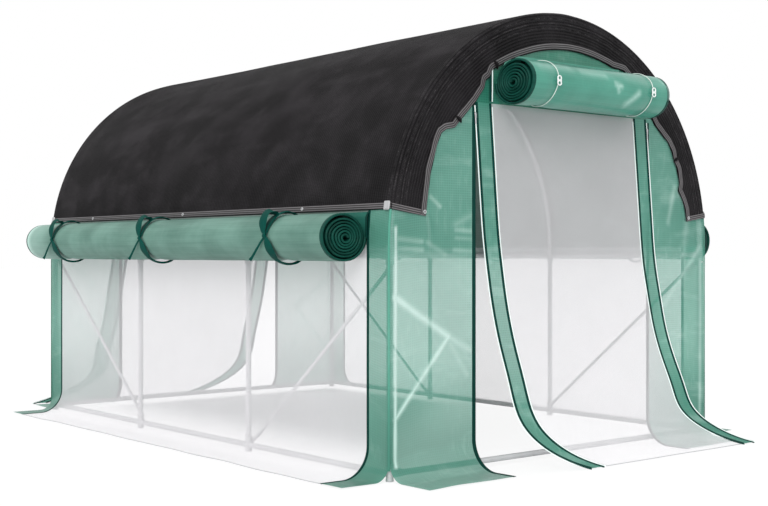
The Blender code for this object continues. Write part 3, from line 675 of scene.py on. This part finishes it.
def shade_point(angle, distance):
    """A point of the net at an angle in degrees, at a distance from the middle along the
    tunnel and, past the gable's edge, down the gable."""
    end = -1 if distance < 0 else 1
    past = abs(distance) - shade_edge
    turn = max(0, min(pi / 2, past / shade_bend))
    down = max(0, past - shade_bend * pi / 2)
    radius = shade_radius - shade_bend * (1 - cos(turn)) - down
    y = end * (min(abs(distance), shade_edge) + shade_bend * sin(turn))
    sag = wave(angle / 16, distance * 1.3, 3) + 0.5 * wave(angle / 6, distance * 3.1, 8)
    if past < 0:
        radius += 0.0022 + 0.0026 * sag
    else:
        radius += 0.002 * cos(turn)
        slack = min(1, down / 0.05)
        y += end * sin(turn) * max(0, 0.002 + 0.006 * slack * wave(angle / 4.5, down * 9, end))
    a = radians(angle)
    return Vector((radius * cos(a), y, spring + radius * sin(a)))


def shade_shape(across, up):
    lowest = 7.58
    angle = lowest + (180 - 2 * lowest) * across
    corner = shade_edge + shade_bend * pi / 2
    wrap = corner + shade_radius - shade_bend
    front = -(wrap - hem_radius(angle))
    back = wrap - hem_radius(180 - angle)
    flat_top = ((0.15, -shade_edge), (0.85, shade_edge))
    stops = ((0, front), (0.1, -corner), *flat_top, (0.9, corner), (1, back))
    distance = between(stops, up)
    return shade_point(angle, distance), (radians(angle) * shade_radius, distance)


def shade_recipe(w):
    flat = w.flat()
    warp = flat.cloud(5, 3) * 0.006
    away = flat.part("Y").maths("ABSOLUTE")
    gable = away.rise(1.5, 1.515)
    dots = flat.part("X").lines(0.0065, 0.0036)
    grain = flat.stretched(1.6, 1).cloud(110, 3).rise(0.42, 0.62)
    ribs = (flat.part("Y") + warp).lines(0.0132, 0.007) * (0.55 + 0.45 * dots) * (0.34 + 0.3 * gable)
    stitches = dots * flat.part("Y").lines(0.0044, 0.0022)
    haze = flat.cloud(1.1, 6).rise(0.3, 0.75)
    mottle = flat.cloud(4.5, 5).rise(0.36, 0.66)
    wear_and_glint = flat.cloud(9, 6).rise(0.5, 0.75)
    broken = flat.cloud(26, 3).rise(0.38, 0.62)
    seams = (away + 0.012 + warp * 0.6).lines(0.021, 0.006) * (0.25 + 0.75 * dots * grain) * broken
    seams = seams * away.rise(1.493, 1.5) * (1 - away.rise(1.583, 1.59))
    folds = flat.stretched(1, 0.35).cloud(5, 4)
    worn = folds.rise(0.5, 0.72) * (1 - gable)
    tone = ribs + haze * 0.16 + stitches * 0.16 + wear_and_glint * 0.14 + worn * 0.42 + mottle * 0.36
    net = (tone * (0.8 + 0.3 * grain)).colours((0.0012, 0.0009, 0.0012), (0.03, 0.0272, 0.03))
    relief = ribs * 2 + stitches * 0.5 + folds * 4.2 + mottle + seams + grain * gable
    return {
        "Base Color": (seams * 0.6).colours(net, (0.125, 0.116, 0.122)),
        "Roughness": 0.7 + 0.2 * haze,
        "Normal": relief.bump(0.9, 0.003),
    }


shade_net = finish("shade_net", {"Specular IOR Level": 0.12}, shade_recipe)
shade = piece("shade_net_sheet", [cloth(260, 120, shade_shape, upward)], [shade_net], ["shade_cover"])


def tape_recipe(w):
    flat = w.flat()
    rows = (flat.part("Y") + 0.0044).lines(0.0088, 0.006)
    stitches = flat.part("X").lines(0.005, 0.0036) * 0.25 + 0.75
    tape = flat.cloud(14, 4).colours((0.13, 0.122, 0.127), (0.23, 0.215, 0.223))
    return {
        "Base Color": (rows * stitches).colours(tape, (0.006, 0.0055, 0.006)),
        "Normal": (1 - rows * stitches).bump(0.5, 0.0012),
    }


hem_tape = finish("hem_tape", {"Roughness": 0.7}, tape_recipe)
dark, pale = (0.42, 0.43, 0.44), (0.62, 0.63, 0.64)
bright_metal = mottled("bright_metal", {"Metallic": 1}, 160, dark, pale, 0.22, detail=4)
dark, pale = (0.36, 0.365, 0.37), (0.47, 0.475, 0.48)
grey_plastic = mottled("grey_plastic", {"Roughness": 0.4}, 60, dark, pale, grain=400)


def eyelet(place, out, radius=0.0058):
    """A pressed metal eyelet, its ring standing on the hem, in the hem's second finish."""
    turn = Vector((0, 0, 1)).rotation_difference(Vector(out)).to_matrix()
    ring = arc(radius, radius, 0, 360, 16)
    path = [Vector(place) + turn @ Vector((x, y, 0.001)) for x, y in ring]
    return drawn(path, tuple(out), 0.0025, 0.005, sides=8, look=1)


tape_depth = 0.013
pinch_rise = ((-0.017, 0.0045), (-0.009, 0.0085), (0.002, 0.0105), (0.011, 0.0085), (0.018, 0.005))
pinch_widths = (0.008, 0.014, 0.017, 0.013, 0.008)
pinch_depths = [0.004, 0.008, 0.01, 0.008, 0.004]
for end, out in ends:

    def spoke(angle):
        """The way out from the arch's centre, at an angle in degrees."""
        return Vector((-out * cos(radians(angle)), 0, sin(radians(angle))))

    def on_gable(angle, radius, away):
        """A point off the shade net, at a radius on a spoke."""
        return Vector((0, out * (shade_face + away), spring)) + spoke(angle) * radius

    angles = [7.95 + 164.1 * i / 260 for i in range(261)]
    bulges = [0.0052 + 0.004 * wave(angle / 4.5, 3, out) for angle in angles]
    radii = [hem_radius(angle) + tape_depth * 1.3 for angle in angles]
    path = [on_gable(*spot) for spot in zip(angles, radii, bulges)]
    parts = [drawn(path, [spoke(angle) for angle in angles], 0.027, 0.0035, sides=12)]
    for angle, size in ((142, 1), (120.3, 1.2), (28, 0.9)):
        middle = hem_radius(angle) + tape_depth
        line = [on_gable(angle, middle + s, 0.003 + size * lift) for s, lift in pinch_rise]
        widths = [size * width for width in pinch_widths]
        parts.append(drawn(line, spoke(angle + 90), widths, pinch_depths, sides=10, look=2))
    for angle in (8.35, 171.65):
        line = [on_gable(angle, r, 0.0042) for r in (1.019, 0.995, 0.96, 0.92, hem_radius(angle) + 0.004)]
        parts.append(drawn(line, spoke(angle + 90), 0.024, 0.0032, sides=12))
    for angle in (8.6, 171.4):
        parts.append(eyelet(on_gable(angle, hem_radius(angle) + 0.014, 0.009), (0, out, 0), 0.006))
    piece(f"{end}_shade_hem", parts, [hem_tape, bright_metal, shade_net])
a = radians(8.42)
for side, sign in flanks:

    def on_side(y, away):
        """A point of the side hem's middle line, off the shade net."""
        radius = shade_radius + away
        return Vector((sign * radius * cos(a), y, spring + radius * sin(a)))

    line = [on_side(-1.521 + 3.042 * i / 60, 0.0035) for i in range(61)]
    parts = [drawn(line, (-sign * sin(a), 0, cos(a)), 0.024, 0.0032, sides=12)]
    parts += [eyelet(on_side(y, 0.0045), (sign, 0, 0.14)) for y in (-0.93, 0.06, 1.01)]
    down = Vector((sign * sin(a), 0, -cos(a)))
    for y in (-half, half):
        middle = on_side(y, 0.0077)
        path = [middle + down * s for s in (-0.018, -0.017, -0.012, 0.012, 0.017, 0.018)]
        widths = [0.026, 0.034, 0.037]
        depths = [0.002, 0.0045, 0.006]
        parts.append(drawn(path, (0, 1, 0), widths + widths[::-1], depths + depths[::-1], look=2))
        proud = Vector((sign * 0.0035, 0, 0))
        rib = [middle + down * s + proud for s in (-0.013, 0.013)]
        parts.append(drawn(rib, (0, 1, 0), 0.014, 0.003, sides=8, look=2))
    piece(f"{side}_shade_hem", parts, [hem_tape, bright_metal, grey_plastic])


# Side curtains: green film that hangs from a seam on the roof. Each is rolled up loosely
# under the shade net's hem, and hangs from the seam to its roll as a short sheet.
def layered(name, shine, deep, pale, rough):
    """Film in several layers: pale streaks along the roll, mottled across it, with painted
    highlights where the mesh marks them.
    """

    def recipe(w):
        flat = w.flat()
        streaks = flat.stretched(1.2, 22).cloud(2.2, 4)
        haze = flat.cloud(4.5, 4)
        scrim = flat.part("Y").lines(0.01, 0.003) * 0.5 + flat.part("X").lines(0.01, 0.003) * 0.25
        tone = streaks.rise(0.3, 0.7) * 0.22 + haze.rise(0.3, 0.7) * 0.55 + scrim * 0.14
        # Painted highlights: where the mesh marks them, the colour turns pale green.
        glint = w.highlight_marks().maths("MINIMUM", 1)
        return {
            "Base Color": glint.colours(tone.colours(deep, pale), (0.62, 0.86, 0.78)),
            "Roughness": rough + 0.2 * haze,
            "Normal": (streaks * 0.4 + scrim * 0.15 + flat.cloud(7, 3) * 2.6).bump(0.5, 0.004),
        }

    return finish(name, shine, recipe)


dull = {"Specular IOR Level": 0.3}
deep_dull = {"Specular IOR Level": 0.12}
shiny = {"Coat Weight": 0.3, "Coat Roughness": 0.15}
curtain_film = layered("curtain_film", dull, (0.06, 0.155, 0.12), (0.165, 0.31, 0.255), 0.42)
door_film = layered("door_film", shiny, (0.022, 0.2, 0.138), (0.06, 0.31, 0.225), 0.24)
# The rolls' inner turns are the same film darkened as painted shade between the turns.
shaded_inner_turns = layered("shaded_inner_turns", deep_dull, (0.001, 0.032, 0.023), (0.005, 0.07, 0.052), 0.5)
roll_binding = layered("roll_binding", deep_dull, (0.001, 0.028, 0.02), (0.006, 0.082, 0.06), 0.4)
# The hanging sheets' film is darkened as painted shade under the shade net's hem.
shaded_hung_film = layered("shaded_hung_film", deep_dull, (0.006, 0.075, 0.055), (0.02, 0.14, 0.105), 0.45)
roll_radius = 0.0925
roll_pitch = 0.0118
roll_depth = 1.17


def wound(start, end, place, turns, ties, seed, columns=120):
    """A sheet rolled up from start to end, with a binding down both of its sides.
    place(along, out, up) is from the roll's centre."""
    bound = 2 / columns
    rim = 0.016

    def shape(across, up):
        side = min(across, 1 - across)
        inside = rim + (abs(end - start) / 2 - rim) * (side - bound) / (0.5 - bound)
        inside = rim * side / bound if side < bound else inside
        along = start + inside if across < 0.5 else end - inside
        turn = turns * up
        dip = max(0, (turn - 0.62) / 0.38)
        lap = turn if turn >= 1 else dip * dip * (3 - 2 * dip)
        radius = roll_radius - roll_pitch * lap
        angle = 2 * pi * turn
        tight = sum(exp(-(((along - tie) / 0.04) ** 2)) for tie in ties)
        outer = max(0, 1 - turn / 2.5)
        radius -= outer * (0.0045 * tight - 0.0018 * wave(along * 3, cos(angle), seed + sin(angle)))
        radius += (1 - outer) * 0.0018 * wave(along * 2, 1.3 * turn, seed)
        loose = min(1, turn / 2)
        radius *= 1 + loose * 0.045 * wave(1.3 * cos(angle), 1.3 * sin(angle), seed)
        fringe = max(0, 1 - side / (3 * bound))
        along += 0.003 * fringe * wave(turn * 2.2, 5, seed) * (1 if across > 0.5 else -1)
        sag = -0.0025 * (1 - min(1, tight))
        run = 2 * pi * (roll_radius * turn - roll_pitch * turn * turn / 2)
        aside = 0.0013 * max(0, turn - 1)
        point = place(along, -radius * cos(angle) - aside, -radius * sin(angle) + sag - 0.4 * aside)
        return point, (along, run)

    def look(across, up):
        # The outer turn takes the first finish, the turns inside it the second, darkened as painted shade.
        return 2 if min(across, 1 - across) < bound else int(up * turns > 0.93)

    sheet = cloth(columns, round(turns * 44), shape, (0, 0, 0), look)
    bmesh.ops.recalc_face_normals(sheet, faces=sheet.faces[:])
    return sheet


def rolled_up(name, sheet, outer, node, body):
    """A rolled sheet's piece, as thick as its doubled film."""
    rolled = piece(name, [sheet], [outer, shaded_inner_turns, roll_binding], [node], body)
    wall = rolled.modifiers.new("thickness", "SOLIDIFY")
    wall.thickness = 0.0078
    wall.offset = 0
    return rolled


curtain_out = 1.0188 + 0.1165
curtain_height = 0.968
tie_places = (-1, 0.05, 1.005)


def curtain_place(sign):
    """Turns (y, out, up) from a side curtain's roll centre into a point."""
    return lambda y, out, up: Vector((sign * (curtain_out + roll_depth * out), y, curtain_height + up))


for side, sign in flanks:
    sheet = wound(-1.383, 1.343, curtain_place(sign), 7, tie_places, 2 + sign)
    # Its far end has a painted highlight: a pale patch, brightest in a band at the rim.
    wear_and_glint = sheet.verts.layers.float.new("paint_highlights")
    for v in sheet.verts:
        inward = 1.327 - v.co.y
        if inward > -0.001:
            fading = max(0, min(1, 1.2 - inward / 0.25))
            v[wear_and_glint] = 0.22 * fading + 0.45 * exp(-((inward / 0.024) ** 2))
    body = f"{side}_curtain"
    rolled = rolled_up(f"{side}_rolled_curtain", sheet, curtain_film, f"{body}_roll", body)

    def hang_shape(across, up):
        y = -1.38 + 2.72 * across
        x = 1.0228 - 0.013 * max(0, (up - 0.75) / 0.25) ** 2
        return Vector((sign * x, y, 0.96 + 0.107 * up)), (y, 0.107 * up)

    sheet = cloth(60, 24, hang_shape, (sign, 0, 0))
    hanging = piece(f"{side}_hanging_curtain", [sheet], [shaded_hung_film], [f"{side}_curtain_sheet"], None)
    bar = trim(hang_shape, (0, 0), (0, 1), (0, 1, 0), 0.012, 0.0035, 24)
    binding = piece(f"{side}_curtain_binding", [bar], [dark_binding], body=None)
    for soft in (hanging, binding):
        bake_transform(soft)


# Ties: dark green ribbons sewn under the shade net's hem. Each goes round the rolled
# curtain, crosses itself in front like a bow's knot, and leaves a thin tail.
ribbon_green = woven("ribbon_green", 0.03, (0.001, 0.03, 0.023), (0.004, 0.082, 0.064))


def smooth(points, steps):
    """A smooth curve through the points, with this many steps between neighbours."""
    points = [Vector(p) for p in points]
    guides = [2 * points[0] - points[1], *points, 2 * points[-1] - points[-2]]
    curve = []
    for a, b, c, d in zip(guides, guides[1:], guides[2:], guides[3:]):
        for step in range(steps):
            t = step / steps
            bend = (2 * a - 5 * b + 4 * c - d) * t * t
            curve.append(0.5 * ((2 * b) + (c - a) * t + bend + (3 * b - a - 3 * c + d) * t**3))
    return [*curve, points[-1]]


def ribbon(place, y, line):
    """A ribbon round a roll at y. Each of the line's points is along, out and up from the
    roll's centre, then the ribbon's width and thickness there, all in millimetres."""
    path = [place(y + p.x, p.y, p.z) for p in smooth([Vector(point[:3]) / 1000 for point in line], 8)]
    gathered = smooth([Vector((*point[3:], 0)) / 1000 for point in line], 8)
    widths = [g.x for g in gathered]
    depths = [g.y for g in gathered]
    centre = place(0, 0, 0)
    across = []
    last = len(path) - 1
    for step, point in enumerate(path):
        along = path[min(step + 1, last)] - path[max(step - 1, 0)]
        away = Vector((point.x - centre.x, 0, point.z - centre.z))
        across.append(along.cross(away).normalized())
    return drawn(path, across, widths, depths, sides=12)


tie_lines = (
    (
        (0, -82, 48, 24, 4), (0, -47, 88, 24, 6), (0, 0, 105.5, 26, 8), (0, 40, 96.5, 36, 6),
        (4, 68, 72, 46, 3), (2, 88, 40, 36, 3), (0, 98.5, 8, 14, 5), (30, 101, -22, 11, 4),
        (62, 100, -52, 11, 4), (95, 97, -80, 11, 4), (118, 95, -96, 15, 4),
    ),
    (
        (4, 50, 94, 40, 3), (4, 66, 109, 52, 4), (12, 82, 105, 58, 3), (20, 95, 72, 56, 3),
        (13, 100, 34, 36, 3), (0, 101.5, 7, 15, 5), (-14, 97, -30, 50, 3), (-16, 84, -62, 58, 3),
        (-4, 58, -89, 38, 7), (0, 25, -107, 26, 10), (0, -12, -112, 24, 10), (0, -48, -100, 24, 10),
        (0, -80, -64, 24, 6),
    ),
    ((4, 101.5, 18, 16, 4), (0, 106, 7, 24, 6), (-4, 101.5, -5, 16, 4)),
)
for side, sign in flanks:
    for number, y in enumerate(tie_places, 1):
        parts = [ribbon(curtain_place(sign), y, line) for line in tie_lines]
        name = f"{side}_tie_{number}"
        tie = piece(f"{name}_ribbon", parts, [ribbon_green], [name])
        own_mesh(tie)


# Rolled doors: the doorway's green film rolled up over the head, its last hand's breadth
# sewn to the gable above. It is smoother and glossier than the curtains.
door_out = 1.519 + 0.003 + 0.0062 + 0.11
door_height = 1.617
strap_places = (-0.297, 0.32)
dark, pale = (0.55, 0.66, 0.6), (0.74, 0.82, 0.77)
cord_white = mottled("cord_white", {"Roughness": 0.6}, 90, dark, pale, where=Wire.flat)
dark, pale = (0.72, 0.75, 0.74), (0.84, 0.86, 0.85)
toggle_white = mottled("toggle_white", {"Roughness": 0.35}, 80, dark, pale)
# Painted highlights on the rolled door: glints on its front, a pale band along its top, and a bright rim at
# its right end.
door_highlights = (
    (73, 1634, 112, 1626, 0.55, 20), (80, 1630, 92, 1606, 0.5, 20),
    (165, 1560, 228, 1606, 0.55, 26), (150, 1560, 185, 1562, 0.3, 20),
    (-130, 1669, 20, 1664, 0.24, 24), (160, 1664, 400, 1650, 0.1, 30),
    (-380, 1672, -200, 1676, 0.16, 35), (405, 1672, 434, 1650, 0.35, 12),
    (434, 1650, 436, 1600, 0.45, 11),
)
for end, out in ends:

    def place(along, away, up):
        return Vector((-out * along, out * (door_out + roll_depth * away), door_height + up))

    sheet = wound(-0.444, 0.44, place, 7, strap_places, 5 + out, columns=140)
    paint_highlights(sheet, -out, door_highlights)
    body = f"{end}_door"
    rolled = rolled_up(f"{end}_rolled_door", sheet, door_film, f"{body}_roll", body)

    def flap_shape(across, up):
        along = -0.444 + 0.08 * up + (0.884 - 0.16 * up) * across
        away = -0.0925 - 0.0052 * up
        return place(along, away, -0.006 + 0.134 * up), (along, 0.134 * up)

    flap = piece(f"{end}_door_flap", [cloth(40, 24, flap_shape, (0, out, 0))], [door_film], body=None)
    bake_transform(flap)

    # Straps: thin white cords round each rolled door. Each is closed in front by a
    # moulded hook of two rounded lobes, with a hole in each for the cord.
    for (side, _), along in zip(flanks, strap_places):
        path = []
        for step in range(49):
            a = radians(128 - 246 * step / 48)
            radius = 0.0965 + 0.0012 * sin(a * 3)
            path.append(place(along + 0.004 * sin(a * 2), radius * cos(a), radius * sin(a)))
        parts = [drawn(path, (1, 0, 0), 0.0036, sides=10)]
        middle = place(along, 0.0985, 0) + Vector((0, out * 0.0035, 0))
        for lift in (0.0105, -0.0105):
            lobe = [middle + Vector((x, 0, lift + z)) for x, z in arc(0.0105, 0.009, 0, 360, 20)]
            parts.append(drawn(lobe, (0, 1, 0), 0.006, 0.0055, sides=8, look=1))
        for x in (-0.0105, 0.0105):
            rib = [middle + Vector((x, 0, z)) for z in (-0.014, 0.014)]
            parts.append(drawn(rib, (1, 0, 0), 0.0045, 0.005, sides=8, look=1))
        name = f"{end}_{side}_strap"
        strap = piece(f"{name}_cord", parts, [cord_white, toggle_white], [name])
        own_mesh(strap)


# Net doors: white insect net between two bands of green film, hung from the head of the
# doorway. Unzipped, each is swept out and to its right over the ground.
net_top = 1.53
band_width = 0.08


def swell(z, middle, spread):
    """1 at a height, and less above and below it."""
    return exp(-(((z - middle) / spread) ** 2))


def net_line(z):
    """A net door's two inner edges and how far it stands out, at a height."""
    pull = exp(-z / 0.08)
    high = 1 / (1 + exp((0.9 - z) / 0.06))
    left = -0.333 - 0.08 * z - 0.012 * high - 0.04 * swell(z, 0.19, 0.14) + 0.264 * pull
    right = 0.62 - 0.098 * z + 0.008 * swell(z, 0.7, 0.13)
    right += 0.31 * pull - 0.045 * swell(z, 0.17, 0.1)
    return left, right, 0.3 * max(0, 1 - z) ** 2.5


def net_shape(out, edges, lift):
    """The shape of a net door's strip, between edges set out from the net's own two."""

    def shape(across, up):
        z = 0.004 + (net_top - 0.004) * up**1.9
        left, right, away = net_line(z)
        first, second = edges(left, right)
        x = first + (second - first) * across
        ripple = 0.004 * sin(pi * across) * min(1, away * 12) * wave(across * 3, z * 2, out)
        return Vector((-out * x, out * (1.5195 + away + lift + ripple), z)), (x, z * 1.05)

    return shape


band_film = film("band_film", (0.06, 0.29, 0.208), (0.138, 0.42, 0.322), 0.7, 1, glow)


def teeth_recipe(w):
    teeth = w.flat().part("X").lines(0.003, 0.0016)
    return {"Base Color": teeth.colours((0.72, 0.86, 0.82), (0.88, 0.96, 0.93))}


zip_tape = finish("zip_tape", {"Roughness": 0.5}, teeth_recipe)
zip_aside = 0.125
bands = (
    ("left", lambda left, right: (left - band_width, left), -0.456),
    ("right", lambda left, right: (right, right + band_width), 0.46),
)
for end, out in ends:
    body = f"{end}_net"
    inner = net_shape(out, lambda left, right: (left - 0.004, right + 0.004), 0.0008)
    sheet = cloth(50, 90, inner, (0, out, 0.3))
    screen = piece(f"{end}_net_screen", [sheet], [white_net], [f"{end}_net_door"], body)
    bar = trim(inner, (0, 0), (1, 0), (0, 1, 0), 0.004, 0.0025, 50, 6)
    hem = piece(f"{end}_net_hem", [bar], [hem_thread], body=body)
    for side, edges, above in bands:
        shape = net_shape(out, edges, 0.0022)
        name = f"{end}_net_{side}"
        band = piece(f"{name}_band", [cloth(10, 90, shape, (0, out, 0.3))], [band_film], body=body)
        sewn = [edging(f"{name}_binding_a", shape, 0, (1, 0, 0), body)]
        sewn.append(edging(f"{name}_binding_b", shape, 1, (1, 0, 0), body))
        zips = [
            trim(shape, (across, 0), (across, 0.995), (1, 0, 0), 0.0062, 0.0028)
            for across in (-zip_aside, 1 + zip_aside)
        ]
        sewn.append(piece(f"{name}_zip", zips, [zip_tape], body=body))
        line = [(-out * above, out * y, z) for y, z in ((seam_face, 1.538), (1.524, 1.6), (1.524, 1.69))]
        piece(f"{end}_header_{side}_zip", [drawn(line, (1, 0, 0), 0.0062, 0.003, sides=8)], [zip_tape])


# Zip sliders: cast metal, one on each outer zip, parked at the top, with a pull that
# hangs from a small ring.
slider_heights = (1.487, 1.4855, 1.48, 1.472, 1.468, 1.467)
slider_widths = [0.006, 0.0105, 0.013, 0.01, 0.009, 0.006]
slider_depths = [0.002, 0.0042, 0.0045, 0.0045, 0.004, 0.002]
pull_heights = (1.4655, 1.463, 1.456, 1.445, 1.4405, 1.4395)
pull_widths = [0.003, 0.006, 0.006, 0.008, 0.007, 0.003]
pull_depths = [0.001, 0.0022, 0.0022, 0.0022, 0.002, 0.001]
for end, out in ends:
    for side, sign in flanks:
        left, right, _ = net_line(slider_heights[0])
        x = (left if sign < 0 else right) + sign * (1 + zip_aside) * band_width
        away = out * (1.5223 + 0.0022)
        line = [(-out * x, away, z) for z in slider_heights]
        parts = [drawn(line, (1, 0, 0), slider_widths, slider_depths)]
        ring = arc(0.0035, 0.0045, 0, 360, 12)
        line = [(-out * (x + a), away + out * 0.0015, 1.4665 + b) for a, b in ring]
        parts.append(drawn(line, (0, 1, 0), 0.0016, sides=8))
        line = [(-out * x, away + out * 0.001, z) for z in pull_heights]
        parts.append(drawn(line, (1, 0, 0), pull_widths, pull_depths))
        name = f"{end}_{side}_slider"
        piece(f"{name}_metal", parts, [bright_metal], [name], f"{end}_{side}_zip")


# Studio: a white floor that keeps the soft shadow, with a painted shadow zone inside the
# tunnel where its white glow is cut back, a white surround and soft light from the front left.
floor_look = bpy.data.materials.new("white_floor")
floor_look.use_nodes = True
w = Wire(floor_look.node_tree)
rays = w.ray("Camera")
diffuse = w.add("BsdfDiffuse", {"Color": (0.86, 0.86, 0.87, 1)})
white = w.add("Emission", {"Color": (1, 1, 1, 1), "Strength": 1.05})
place = w.solid()
x, y = place.part("X"), place.part("Y")
# Painted shadow zone: inside the tunnel's footprint the floor's white glow is cut back, so it greys with the
# shade there.
inside = x.rise(-1, -0.2) * (1 - x.rise(0.85, 1)) * (1 - y.rise(1.35, 1.5))
inside = inside * (y - 0.8 * x).rise(-0.75, -0.15)
blend = w.add("MixShader", {0: rays * (0.82 - 0.7 * inside), 1: diffuse, 2: white})
surface = w.tree.nodes["Material Output"].inputs["Surface"]
w.tree.links.new(blend.socket, surface)
bm = bmesh.new()
bmesh.ops.create_grid(bm, x_segments=1, y_segments=1, size=60)
floor = piece("floor", [bm], [floor_look], body=None)

world = bpy.data.worlds.new("surround")
bpy.context.scene.world = world
world.use_nodes = True
w = Wire(world.node_tree)
seen = w.ray("Camera").maths("MAXIMUM", w.ray("Glossy")).maths("MAXIMUM", w.ray("Transmission"))
surround = w.tree.nodes["Background"].inputs
w.tree.links.new((0.97 + 0.03 * seen).socket, surround["Strength"])
surround["Color"].default_value = (1, 1, 1, 1)

sun = bpy.data.objects.new("key", bpy.data.lights.new("key", "SUN"))
sun.data.energy = 1.55
sun.data.angle = radians(35)
sun.rotation_euler = (radians(60), 0, radians(-52))
bpy.context.scene.collection.objects.link(sun)
bpy.context.scene.view_settings.view_transform = "Standard"
